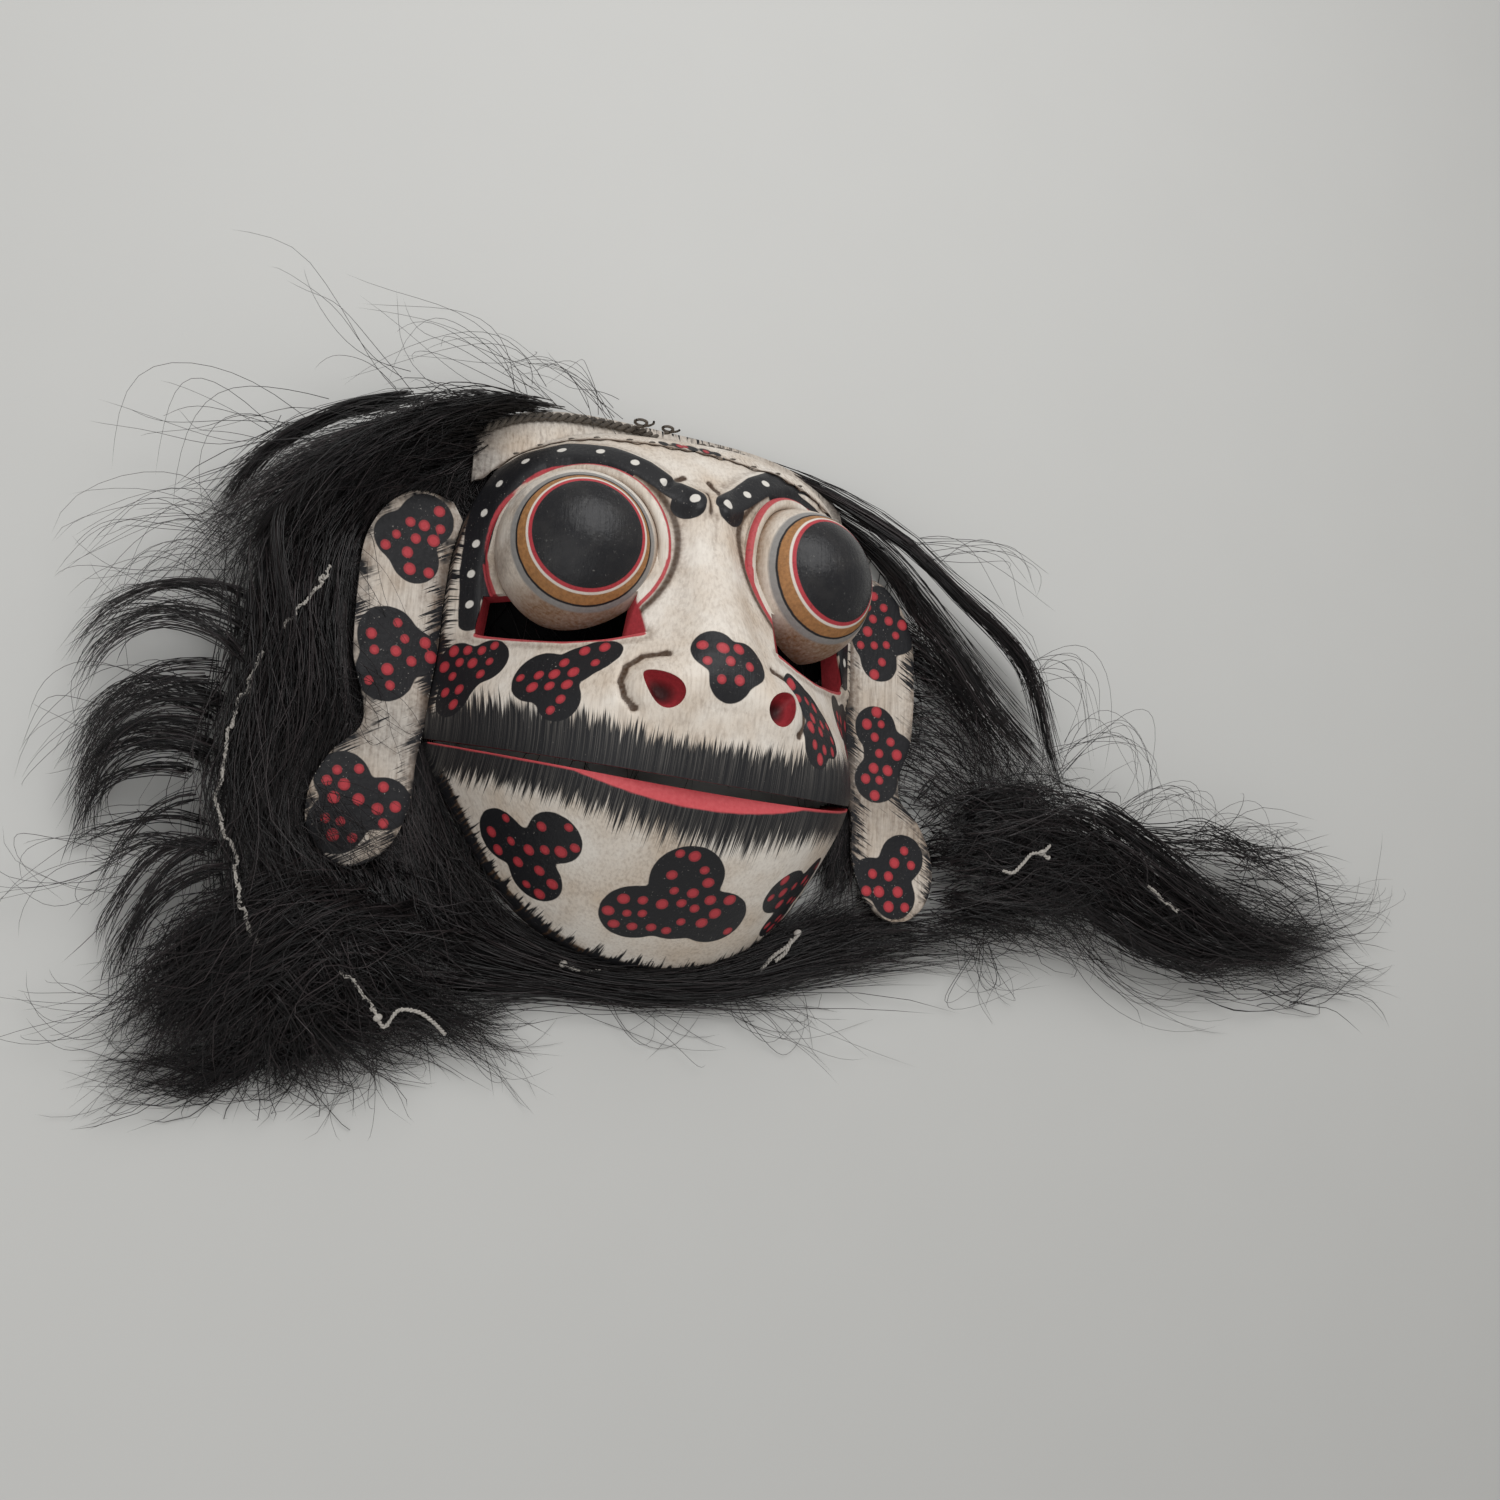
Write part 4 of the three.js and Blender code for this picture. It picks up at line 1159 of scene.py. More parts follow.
class FROGMASK_OT_carving(bpy.types.Operator):
    """Carved face and jaw, cut from gridded blocks and painted"""
    bl_idname = "frogmask.carving"
    bl_label = "Face and jaw"

    def execute(self, context):
        scene = context.scene
        carving = scene.frog_mask_carving
        material = painted_wood(scene.frog_mask_paint)
        hollow = hollow_block(HOLLOW_STEPS)
        face = new_object("carved_face", carved_block(carving.face_divisions, carved_height))
        carve(face, "INTERSECT", mouth_side(1, lambda x: 0 * x))
        for side in (-1, 1):
            carve(face, "UNION", eye_rim(side))
            carve(face, "DIFFERENCE", eye_slit(side))
            carve(face, "UNION", ball_surface(eye_centre(side), (EYE_RADIUS,) * 3, EYE_STEPS))
        carve(face, "DIFFERENCE", hollow)
        for side in (-1, 1):
            inner = ball_surface(eye_centre(side), (EYE_HOLLOW,) * 3, EYE_HOLLOW_STEPS)
            carve(face, "DIFFERENCE", inner)
            carve(face, "DIFFERENCE", nostril_pit(side))
        jaw = new_object("carved_jaw", carved_block(carving.jaw_divisions, jaw_height))
        carve(jaw, "INTERSECT", mouth_side(-1, lip_gap))
        carve(jaw, "DIFFERENCE", hollow)
        pieces = ((face, carved_height, "mask", "face"), (jaw, jaw_height, "jaw", "jaw"))
        for piece, height, body, node in pieces:
            wooden_paint(piece, height, carving, FACE_DOT_SEED)
            shade(piece, material)
            place(piece, body, "painted_wood", node)
        return {"FINISHED"}


# Hide ears, the band at the crown, and its cord

# Outer edge of an ear from its top to its lowest tip, heights at which the inner edge follows the face,
# and the inner edge of the lobe
EAR_OUTER = [
    (88, 100), (101, 102.5), (113, 94), (119.5, 82), (121.5, 57), (120.5, 32), (115, 4), (124, -6),
    (131, -22), (131, -33), (126, -43), (121, -47), (114, -49),
]
EAR_INNER_Y = (97, 80, 60, 40, 22, 4)
EAR_LOBE_INNER = [(93, -6), (94, -24), (101, -41), (107, -46.5), (114, -49)]
EAR_THICKNESS, EAR_FLOOR, EAR_RISE, EAR_GAP = 2.4, 4.6, 0.06, 0.5
EAR_WAIST_Y = 4.0
# Steps along an ear's edges, its grid, its waves as height and length, and the power and share by which
# its thickness falls to the rim
EAR_STEPS, EAR_GRID = 200, (130, 52, 1)
EAR_WAVE, EAR_WAVE_LENGTH, EAR_RIPPLE, EAR_RIPPLE_LENGTH = 1.1, 26, 0.5, 9
EAR_RIM_POWER, EAR_RIM_THINNING = 14, 0.5
# Least and greatest x, y and size of a dent, their count and depth, and the starts of an ear's draws
DENT_FROM, DENT_TO, DENTS, DENT_DEPTH = (90, -45, 4), (128, 100, 10), 14, 0.5
DENT_SEED, EAR_DOT_SEED = 20, 5
BAND_HALF_WIDTH, BAND_TOP_Y, BAND_DROP = 83.0, 151.0, 18.0
BAND_FLOOR, BAND_LEAST_Z, BAND_LIFT, BAND_THICKNESS = 4.4, 0.5, 1.0, 1.6
# Slope of the band's brim and how far in from the free edge it rises, and the band's grid
BRIM_SLOPE, BRIM_REACH, BAND_GRID = 0.42, 16, (190, 34, 1)
BAND_SEAM = [
    (-84, 111), (-78, 116), (-71, 122.7), (-64, 127.6), (-56, 131), (-42, 133), (-28, 131.6), (-11, 130.7),
    (10, 129), (29, 124.5), (40, 120.5), (55, 117), (70, 110), (84, 98),
]
# Uneven cut of the seam, as (height, turn for each millimetre, phase)
SEAM_RIPPLES = ((0.5, 0.9, 0), (0.4, 0.37, 1))
BAND_PATCH = [(-11, 132.6, 1.9), (-5, 132.8, 2.1), (1, 132.9, 2.2), (7, 132.6, 2.1), (12, 132, 1.6)]
BAND_DOTS = [(-4, 132.8, 0.0, 1.5), (-1.5, 133.2, 0.0, 1.3), (7, 132.4, 0.0, 1.4)]
# The cord's half length, its place on the band, and the stretch over which it sinks into the hide
CORD_REACH, CORD_STEPS, CORD_INSET, CORD_LIFT = 79.5, 240, 4.0, 2.0
CORD_SINK, CORD_SINK_FROM, CORD_SINK_TO = 4.5, -14, -2
CORD_PLY_RADIUS, CORD_PLY_OFFSET, CORD_TURN_LENGTH = 0.95, 1.0, 7.5
# Colour of the cord and the darker colour in the hollows of its fuzz, dirt with painted shade
CORD_COLOUR, CORD_DIRT_AND_SHADE = (0.17, 0.145, 0.12), (0.03, 0.025, 0.02)
# Stiff curls of the cord, as (x, radius, turns), where they start, how far they run on, and their
# thickness at both ends
CORD_LOOPS = [(-17, 3.2, 1.3), (-5, 2.9, 1.2)]
LOOP_STEPS, LOOP_Y, LOOP_Z, LOOP_TURN, LOOP_RUN = 40, 147, 12, 1.2, (4, 1.5)
LOOP_ROOT, LOOP_TIP = 0.75, 0.5
TACK_X = [-66, -57, -46, -37, -25, -16, -8, 18, 27, 36, 47]
TACK_SIZE, TACK_TURN, TACK_LIFT, TACK_FROM_SEAM = (1.5, 0.5, 0.45), 0.2, 0.1, 1.7
# Angle past which an edge of the hide is sharp
HIDE_SHARP = 60


def ear_edges(side, steps):
    """Inner and outer edges of an ear, from its top to its lowest tip, in even steps."""
    inner = [(float(half_width(np.array(y))) + EAR_GAP, y) for y in map(float, EAR_INNER_Y)]
    inner = [(x, float(lean(side * x, y))) for x, y in inner] + EAR_LOBE_INNER
    return along_path(inner, steps), along_path(EAR_OUTER, steps)


def ear_surface(side, rng):
    """Thin plate: straight lines from the inner to the outer edge, rising outward, with thinned rims,
    a slow wave along its length and shallow dents."""
    inner, outer = ear_edges(side, EAR_STEPS)
    dents = rng.uniform(DENT_FROM, DENT_TO, (DENTS, 3))

    def move(u, v, w):
        at = (u + 1) / 2 * (EAR_STEPS - 1)
        across = (v + 1) / 2
        x0, y0, x1, y1 = (np.interp(at, np.arange(EAR_STEPS), c) for c in (*inner.T, *outer.T))
        x, y = x0 + (x1 - x0) * across, y0 + (y1 - y0) * across
        wave = EAR_WAVE * across * np.sin(y / EAR_WAVE_LENGTH + 0.8 + side)
        wave = wave + EAR_RIPPLE * across * np.sin(y / EAR_RIPPLE_LENGTH + 2 * side)
        for dx, dy, size in dents:
            wave = wave - DENT_DEPTH * across * bell(np.hypot(x - dx, y - dy), size)
        rim = np.maximum(np.abs(u), np.abs(v)) ** EAR_RIM_POWER
        half = EAR_THICKNESS / 2 * (1 - EAR_RIM_THINNING * rim)
        z = EAR_FLOOR + EAR_RISE * (x - TEMPLE_HALF_WIDTH) + EAR_THICKNESS / 2 + wave
        return side * x, y, z + np.where(w > 0, half, -half)
    return outward(box_surface(EAR_GRID, move))


def flat_height(x, y):
    """The hide is painted as if it lay flat."""
    return 0 * x


class FROGMASK_OT_ears(bpy.types.Operator):
    """Painted hide ears"""
    bl_idname = "frogmask.ears"
    bl_label = "Ears"

    def execute(self, context):
        carving = context.scene.frog_mask_carving
        material = painted_hide(context.scene.frog_mask_paint)
        ears = ((-1, "ear_left", LEFT_EAR_PATCHES), (1, "ear_right", RIGHT_EAR_PATCHES))
        for side, name, patches in ears:
            surface = ear_surface(side, np.random.default_rng(DENT_SEED + side))
            ear = new_object("hide_" + name, surface)
            x, _, y, z = mask_points(ear)
            inner, outer = ear_edges(side, 120)
            edge = distance_to_path(side * x, y, [*inner, *outer[::-1]])
            rng = np.random.default_rng(EAR_DOT_SEED + side)
            ink, red_dot = patch_paint(x, y, 0 * z, patches, flat_height, rng, carving)
            # Painted shade on the ear beside the face, laid on with the dirt along its edges
            shade_beside_face = bell(np.abs(x) - TEMPLE_HALF_WIDTH - 3, 5)
            set_values(
                ear, ink=ink, red_dot=red_dot, edge=edge, edge_along=y + 0.6 * side * x,
                crease=0.45 * bell(edge, 4.5) + 0.35 * shade_beside_face,
                smudge=0.16 + 0.36 * bell(y - EAR_WAIST_Y, 18),
            )
            shade(ear, material, HIDE_SHARP)
            place(ear, "mask", "painted_hide", name)
        return {"FINISHED"}


def band_edge_y(x):
    """Free edge of the band above the crown."""
    return BAND_TOP_Y - BAND_DROP * (x / BAND_HALF_WIDTH) ** 4


def band_top(x, y):
    """Top of the band: on the carved dome inside the outline, and a flat brim outside it."""
    face_y = upright(x, y)
    inside = inset(x, face_y)
    brim = BAND_FLOOR + BRIM_SLOPE * np.minimum(band_edge_y(x) - y, BRIM_REACH)
    dome = np.where(inside > 0, carved_height(x, face_y), 0)
    return np.maximum(dome, brim) + BAND_LIFT


def band_surface():
    """Strip from the seam on the dome, over the rim, to the hide's free edge above the crown."""
    def move(u, v, w):
        x = BAND_HALF_WIDTH * u
        seam = smooth(BAND_SEAM, x)
        for height, pitch, phase in SEAM_RIPPLES:
            seam = seam + height * np.sin(x * pitch + phase)
        seam = lean(x, seam)
        y = seam + (band_edge_y(x) - seam) * (v + 1) / 2
        top = band_top(x, y)
        return x, y, np.where(w > 0, top, np.maximum(top - BAND_THICKNESS, BAND_LEAST_Z))
    return box_surface(BAND_GRID, move)


def twisted_cord(path, plies, ply_radius, offset, turn_length, sides=8):
    """Plies wound about a path: each is a tube whose middle turns round it once in each turn length."""
    length = path_lengths(path)
    _, side, up = sections(path)
    made = []
    for k in range(plies):
        turn = 2 * math.pi * (length / turn_length + k / plies)
        middle = path + offset * (np.cos(turn)[:, None] * side + np.sin(turn)[:, None] * up)
        made.append(tube_surface(middle, ply_radius, sides))
    return joined(*made)


def bound_cord():
    """The cord along the band: two plies wound about a line set in from the band's free edge."""
    x = np.linspace(-CORD_REACH, CORD_REACH, CORD_STEPS)
    y = band_edge_y(x) - CORD_INSET
    z = band_top(x, y) + CORD_LIFT - CORD_SINK * ramp(x, CORD_SINK_FROM, CORD_SINK_TO)
    line = np.stack([x, y, z], -1)
    return twisted_cord(line, 2, CORD_PLY_RADIUS, CORD_PLY_OFFSET, CORD_TURN_LENGTH)


def stiff_loop(start_x, radius, turns):
    """A stiff end that stands up from the band: a circle carried along x and y as it turns."""
    t = np.linspace(0, 1, LOOP_STEPS)
    turn = 2 * math.pi * turns * t - LOOP_TURN
    x = start_x + LOOP_RUN[0] * t + radius * np.cos(turn)
    z = LOOP_Z + radius * (1 + np.sin(turn))
    loop = np.stack([x, LOOP_Y + LOOP_RUN[1] * t, z], -1)
    return tube_surface(loop, np.linspace(LOOP_ROOT, LOOP_TIP, LOOP_STEPS), 6)


def tack_head(x):
    """A small ball on the band, just above its seam."""
    y = lean(x, float(smooth(BAND_SEAM, x))) + TACK_FROM_SEAM
    return ball_surface((x, y, float(band_top(x, y)) + TACK_LIFT), TACK_SIZE, 4, TACK_TURN)


class FROGMASK_OT_band(bpy.types.Operator):
    """Hide band at the crown with its twisted cord, tacks and stiff loops"""
    bl_idname = "frogmask.band"
    bl_label = "Crown band and cord"

    def execute(self, context):
        band = new_object("hide_band", band_surface())
        x, _, y, z = mask_points(band)
        from_seam = y - lean(x, smooth(BAND_SEAM, x))
        from_top = band_edge_y(x) - y
        from_end = BAND_HALF_WIDTH - np.abs(x)
        set_values(
            band, ink=patch_distance(x, y, 0 * z, BAND_PATCH, flat_height),
            red_dot=dots_distance(x, y, 0 * z, BAND_DOTS),
            edge=np.minimum(np.minimum(from_top, 1.5 * from_seam + 2.5), 1.2 * from_end) + 4.5,
            edge_along=x, crease=0.8 * bell(from_seam, 1.4),
            smudge=0.9 * bell(from_end, 13) + 0.35 * bell(from_top, 6),
        )
        shade(band, bpy.data.materials["mask_hide"], HIDE_SHARP)
        place(band, "mask", "painted_hide", "crown_band")
        loops = [stiff_loop(*loop) for loop in CORD_LOOPS]
        cord = new_object("twisted_cord", joined(bound_cord(), *loops))
        shade(cord, cotton("mask_cord", CORD_COLOUR, CORD_DIRT_AND_SHADE))
        place(cord, "mask", "bound_cord", "hair_cord")
        tack = new_object("band_tacks", joined(*(tack_head(x) for x in TACK_X)))
        shade(tack, bpy.data.materials["mask_cord"])
        place(tack, "mask", "bound_cord")
        return {"FINISHED"}


# Hair

Lock = namedtuple("Lock", "node strands clump core wave splay start loose least guides")

HAIR_FLOOR, HAIR_CEILING = 0.4, 60
# Outer edge of an ear, as (place up the mask, distance from its middle)
EAR_REACH = [
    (-49, 114), (-43, 126), (-33, 131), (-22, 131), (-6, 124), (4, 115), (32, 120.5), (57, 121.5),
    (82, 119.5), (94, 113), (102.5, 101),
]
# Hair stays within these lengths across and up the mask, and eases off over a short way before them
HAIR_ACROSS, HAIR_UP, HAIR_EASE = (-229.0, 412.0), (-147.0, 175.0), 12.0
# Rise of the hair for each millimetre beyond an ear's edge, and its room under the ear
HAIR_SLOPE, HAIR_UNDER_EAR = 2.0, 1.2
# Share of the strands that leave their clump, and how much further they spread
WILD_SHARE, WILD_SPREAD = 0.3, 2.4
# Clumps and strands of a lock, as least and greatest shares: the clumps' places between the outer guides,
# lengths of a clump's strands, heights of clumps squared, heights of strands, waves in a clump's length
# and lengths of a strand's own waves
CLUMP_PLACES, STRAND_LENGTHS = (-0.05, 1.05), (0.75, 1.0)
CLUMP_HEIGHTS, STRAND_HEIGHTS, HEIGHT_LIMIT = (0.08, 1.1), (0.88, 1.12), 1.25
CLUMP_WAVES, STRAND_WAVES, WAVE_SCATTER = (0.3, 1.1), (0.8, 1.25), 0.13
# Drift of clumps and of strands across the lock, the width in guides that strands drift over at most,
# and how far apart a clump's strands start
CLUMP_DRIFT, STRAND_DRIFT, DRIFT_WIDTH, START_SCATTER = 0.13, 0.05, 2.5, 0.08
# Limit of the splay of a tip, the power by which it grows along the strand, and the strand's unevenness
SPLAY_LIMIT, SPLAY_POWER, UNEVENNESS = 24, 2.2, 0.12
# Waves and splay are this much flatter along z
FLATTENED = (1, 1, 0.5)
# Thickness of strands as shares of the setting, and thickness and tone of the loose ones
STRAND_THICKNESS, LOOSE_THICKNESS, LOOSE_TONE = (0.6, 1.4), 0.62, 0.6
# Scatter of the root, middle and tip of a loose strand, its flatness along z, and the size of its wave
LOOSE_SCATTER, LOOSE_FLATTENED, LOOSE_WAVE = (0.35, 0.45, 0.7), (1, 1, 0.35), 3.0
# Middle and reach of a lock's dark core, as shares across and along the lock, and its least height
CORE_ACROSS, CORE_ALONG, CORE_EDGE = (0.5, 0.43), (0.34, 0.34), 0.2
# Each lock is a sheet of guides from root to tip, and its strands lie between neighbouring guides. A
# lock has the node that it belongs to, its count of strands, strands in a clump, share of the height
# that is a solid core, size of the waves and of the splayed tips in millimetres, share of the length
# over which strands start, spread of a clump in guide spacings, least share of the way to the tips that
# a clump reaches, and its guides
LOCKS = {
    "left_crown": Lock("hair_left", 1750, 12, 0.45, 7, 10, 0.3, 0.08, 0.5, [
        [(-73, 123, 6), (-78, 114, 6), (-82, 106, 4), (-83, 98, 3), (-83, 90, 2), (-85, 78, 2)],
        [(-74, 130, 8), (-84, 119, 11), (-96, 110, 13), (-112, 100, 15), (-126, 81, 14), (-132, 60, 12)],
        [(-68, 141, 4), (-97, 127, 24), (-123, 110, 34), (-144, 91, 34), (-158, 70, 30), (-163, 47, 26),
         (-163, 25, 24)],
        [(-55, 149, 4), (-88, 135, 23), (-115, 116, 33), (-139, 97, 33), (-160, 76, 30), (-174, 52, 24),
         (-177, 27, 20)],
        [(-34, 152, 4), (-72, 143, 19), (-101, 126, 29), (-126, 109, 29), (-149, 88, 24), (-167, 64, 18),
         (-174, 37, 14)],
    ]),
    "left_outer": Lock("hair_left", 170, 34, 0, 1.5, 4, 0.34, 0.12, 0.6, [
        [(-98, 139, 20), (-137, 121, 22), (-156, 106, 20), (-168, 90, 16), (-174, 72, 13), (-175, 55, 11),
         (-176, 38, 10)],
        [(-104, 139, 20), (-142, 119, 20), (-160, 103, 18), (-171, 86, 15), (-176, 69, 12), (-177, 52, 10),
         (-178, 33, 9)],
    ]),
    "left_lock": Lock("hair_left", 130, 32, 0, 1.5, 4, 0.25, 0.2, 0.85, [
        [(-150, 88, 36), (-159, 68, 38), (-155, 47, 38), (-152, 32, 37), (-155, 13, 36), (-158, -3, 35)],
        [(-144, 93, 36), (-155, 70, 38), (-151, 48, 38), (-147, 32, 37), (-151, 12, 36), (-154, -6, 35)],
    ]),
    "left_side": Lock("hair_left", 1500, 12, 0.45, 8, 10, 0.5, 0.08, 0.55, [
        [(-110, 104, 8), (-122, 74, 10), (-121, 42, 11), (-116, 14, 9), (-122, -4, 10), (-128, -23, 12),
         (-122, -47, 14), (-112, -64, 16), (-104, -84, 14)],
        [(-123, 96, 22), (-139, 70, 24), (-142, 40, 26), (-140, 10, 26), (-142, -16, 26), (-145, -41, 26),
         (-134, -62, 26), (-122, -84, 22)],
        [(-149, 84, 28), (-161, 57, 30), (-161, 31, 30), (-161, 6, 30), (-161, -19, 30), (-157, -43, 30),
         (-149, -68, 28), (-142, -96, 22)],
    ]),
    "left_under": Lock("hair_left", 800, 9, 0.5, 4, 9, 0.5, 0.09, 0.5, [
        [(-92, 8, 3), (-86, -8, 3), (-77.5, -24, 4), (-65.5, -43, 5), (-51, -59, 6), (-31, -71.5, 6)],
        [(-103, 2, 3), (-97, -20, 3), (-91, -38, 4), (-84, -56, 8), (-72, -69, 9), (-52, -79, 8)],
        [(-121, -36, 6), (-118, -46, 12), (-113, -56, 15), (-100, -67, 16), (-84, -77, 13), (-65, -88, 8)],
        [(-137, -50, 16), (-132, -65, 26), (-125, -71, 25), (-114, -79, 24), (-100, -88, 18), (-83, -98, 9)],
    ]),
    "left_lash": Lock("hair_left", 460, 17, 0, 1.5, 4, 0.12, 0.07, 0.75, [
        [(-150, 34, 33), (-170, 41, 34), (-188, 40, 30), (-204, 31, 22), (-214, 15, 14), (-217, -4, 8)],
        [(-154, 24, 33), (-172, 31, 34), (-188, 31, 30), (-202, 23, 22), (-211, 8, 14), (-213, -10, 8)],
        [(-156, 15, 33), (-173, 21, 34), (-189, 22, 30), (-202, 15, 22), (-210, 0, 14), (-211, -19, 7)],
        [(-157, 5, 33), (-173, 11, 33), (-188, 12, 28), (-200, 5, 20), (-208, -10, 12), (-208, -28, 6)],
        [(-159, -5, 33), (-173, 0, 33), (-189, 1, 28), (-201, -6, 20), (-207, -21, 12), (-207, -39, 6)],
        [(-161, -14, 33), (-176, -9, 33), (-190, -9, 27), (-201, -17, 19), (-206, -32, 11), (-205, -50, 5)],
        [(-163, -23, 33), (-175, -20, 32), (-188, -23, 26), (-198, -32, 18), (-202, -47, 10), (-200, -64, 5)],
        [(-164, -33, 33), (-175, -34, 31), (-186, -40, 25), (-193, -52, 17), (-195, -67, 9), (-192, -85, 4)],
        [(-159, -43, 33), (-170, -44, 31), (-182, -50, 25), (-189, -63, 17), (-192, -78, 9), (-189, -95, 4)],
        [(-155, -54, 32), (-166, -56, 31), (-177, -63, 24), (-185, -75, 16), (-188, -89, 8), (-186, -105, 4)],
    ]),
    "left_hank": Lock("hair_left", 1200, 15, 0.4, 8, 8, 0.5, 0.07, 0.45, [
        [(-123, -45, 20), (-143, -59, 28), (-160, -74, 26), (-172, -90, 18), (-181, -108, 9),
         (-190, -122, 3)],
        [(-103, -54, 16), (-130, -67, 28), (-151, -83, 28), (-165, -99, 20), (-176, -114, 10),
         (-187, -129, 3)],
        [(-80, -60, 10), (-112, -71, 24), (-136, -86, 26), (-154, -102, 19), (-166, -116, 10),
         (-177, -128, 3)],
        [(-59, -69, 6), (-94, -78, 18), (-122, -91, 22), (-140, -105, 16), (-151, -118, 8), (-160, -127, 3)],
    ]),
    "left_sweep": Lock("hair_left", 1050, 15, 0, 8, 8, 0.35, 0.07, 0.5, [
        [(-131, -64, 20), (-115, -79, 24), (-94, -91, 16), (-76, -97, 10), (-56, -98, 5), (-36, -100, 2)],
        [(-140, -75, 20), (-125, -90, 24), (-108, -100, 16), (-88, -106, 9), (-70, -108, 5), (-50, -110, 2)],
        [(-148, -86, 18), (-136, -99, 22), (-122, -108, 14), (-108, -113, 8), (-93, -116, 4), (-76, -116, 2)],
        [(-138, -94, 18), (-134, -106, 16), (-132, -115, 10), (-128, -121, 6), (-122, -126, 4),
         (-114, -129, 3)],
        [(-130, -98, 16), (-135, -110, 14), (-145, -120, 8), (-157, -125, 5), (-170, -126, 4),
         (-180, -121, 5)],
    ]),
    "left_gap": Lock("hair_left", 240, 6, 0.9, 3, 6, 0.3, 0.15, 0.5, [
        [(-93, 20, 3), (-89, 2, 3), (-84, -16, 3), (-75, -34, 4), (-64, -50, 4)],
        [(-101, 22, 3), (-96, 0, 3), (-92, -20, 4), (-86, -40, 5), (-76, -56, 6)],
    ]),
    "right_gap": Lock("hair_right", 200, 6, 0.9, 3, 6, 0.3, 0.15, 0.5, [
        [(84, 14, 3), (86, -6, 3), (84, -24, 3), (78, -40, 4), (66, -54, 5)],
        [(98, 14, 3), (96, -8, 3), (93, -26, 3), (88, -44, 4), (78, -58, 5)],
    ]),
    "chin": Lock("hair_chin", 1000, 10, 0.5, 4, 8, 0.5, 0.09, 0.5, [
        [(-84, -32, 3), (-64, -53, 3), (-37, -70, 4), (-6, -75, 5), (27, -69, 5), (54, -56, 5), (78, -36, 5),
         (104, -26, 6)],
        [(-92, -50, 4), (-66, -66, 6), (-36, -77, 8), (-4, -81, 10), (31, -77, 12), (68, -62, 12),
         (105, -51, 12), (138, -47, 13), (170, -50, 12)],
        [(-104, -84, 6), (-72, -90, 6), (-40, -89, 6), (0, -89, 6), (40, -84, 7), (80, -74, 8), (121, -67, 8),
         (164, -62, 8), (200, -57, 8)],
    ]),
    "right_fall": Lock("hair_right", 180, 36, 0, 1.6, 3, 0.08, 0.14, 0.85, [
        [(34, 150, 4), (66, 145, 6), (92, 135, 12), (113, 124, 16), (138, 105, 18), (163, 90, 18),
         (181, 76, 16), (187, 56, 16), (192, 30, 18), (200, 6, 22)],
        [(44, 149, 4), (72, 140, 6), (95, 128, 13), (117, 115, 18), (139, 97, 20), (162, 82, 20),
         (178, 67, 18), (183, 48, 18), (190, 22, 20), (198, -2, 22)],
    ]),
    "right_inner": Lock("hair_right", 170, 28, 0, 2, 4, 0.08, 0.16, 0.85, [
        [(56, 147, 3), (80, 133, 4), (101, 119, 12), (120, 98, 18), (136, 79, 21), (154, 59, 22),
         (173, 41, 22), (191, 23, 22), (205, 4, 24)],
        [(68, 142, 3), (90, 124, 4), (107, 108, 10), (122, 88, 16), (137, 68, 20), (152, 50, 20),
         (169, 33, 22), (186, 16, 24), (199, -3, 24)],
    ]),
    "right_veil": Lock("hair_right", 250, 5, 0, 8, 11, 0.14, 0.2, 0.6, [
        [(106, 94, 3), (125, 78, 10), (146, 55, 14), (163, 37, 16), (175, 19, 18), (187, 3, 20)],
        [(110, 75, 3), (131, 66, 10), (151, 52, 12), (162, 34, 14), (166, 16, 16), (176, -3, 18)],
        [(112, 52, 3), (133, 47, 10), (152, 38, 12), (163, 25, 14), (169, 10, 16), (176, -10, 18)],
        [(110, 31, 3), (130, 25, 8), (147, 18, 10), (159, 9, 12), (168, -3, 14), (177, -18, 16)],
        [(104, 12, 3), (126, 4, 8), (142, -5, 10), (157, -12, 12), (169, -20, 14), (183, -28, 16)],
    ]),
    "right_mass": Lock("hair_right", 820, 14, 0, 14, 8, 0.45, 0.09, 0.5, [
        [(123, 1, 8), (137, 6, 14), (154, 10, 20), (174, 10, 24), (200, 9, 26), (226, 2, 24)],
        [(119, -17, 8), (134, -12, 16), (151, -9, 24), (174, -8, 28), (201, -8, 28), (229, -15, 26)],
        [(115, -34, 6), (133, -31, 14), (153, -28, 22), (175, -27, 27), (204, -26, 27), (236, -33, 24)],
        [(109, -50, 5), (130, -48, 10), (155, -45, 14), (178, -42, 18), (207, -39, 19), (240, -48, 18)],
    ]),
    "right_tail": Lock("hair_right", 720, 16, 0.25, 6, 8, 0.42, 0.07, 0.12, [
        [(177, 10, 24), (205, 9, 26), (232, -3, 26), (262, -16, 22), (299, -27, 15), (339, -33, 8),
         (380, -28, 5)],
        [(176, -9, 26), (203, -9, 28), (231, -21, 27), (263, -33, 22), (302, -40, 14), (346, -40, 7),
         (392, -31, 4)],
        [(176, -34, 18), (206, -36, 20), (236, -49, 20), (270, -56, 16), (308, -51, 10), (347, -44, 5),
         (384, -40, 3)],
    ]),
    "tail_wisps": Lock("hair_right", 170, 4, 0, 7, 14, 0.5, 0.4, 0.5, [
        [(222, 6, 22), (245, 3, 24), (276, 7, 22), (309, 3, 17), (336, -5, 12), (363, -16, 6)],
        [(233, -4, 22), (259, -2, 24), (294, -1, 22), (333, -3, 16), (370, -9, 10), (393, -20, 5)],
        [(251, -18, 20), (283, -19, 20), (319, -22, 16), (353, -26, 10), (381, -25, 6), (402, -12, 4)],
        [(260, -50, 12), (292, -56, 10), (326, -56, 7), (356, -54, 5), (382, -56, 3), (398, -64, 2)],
    ]),
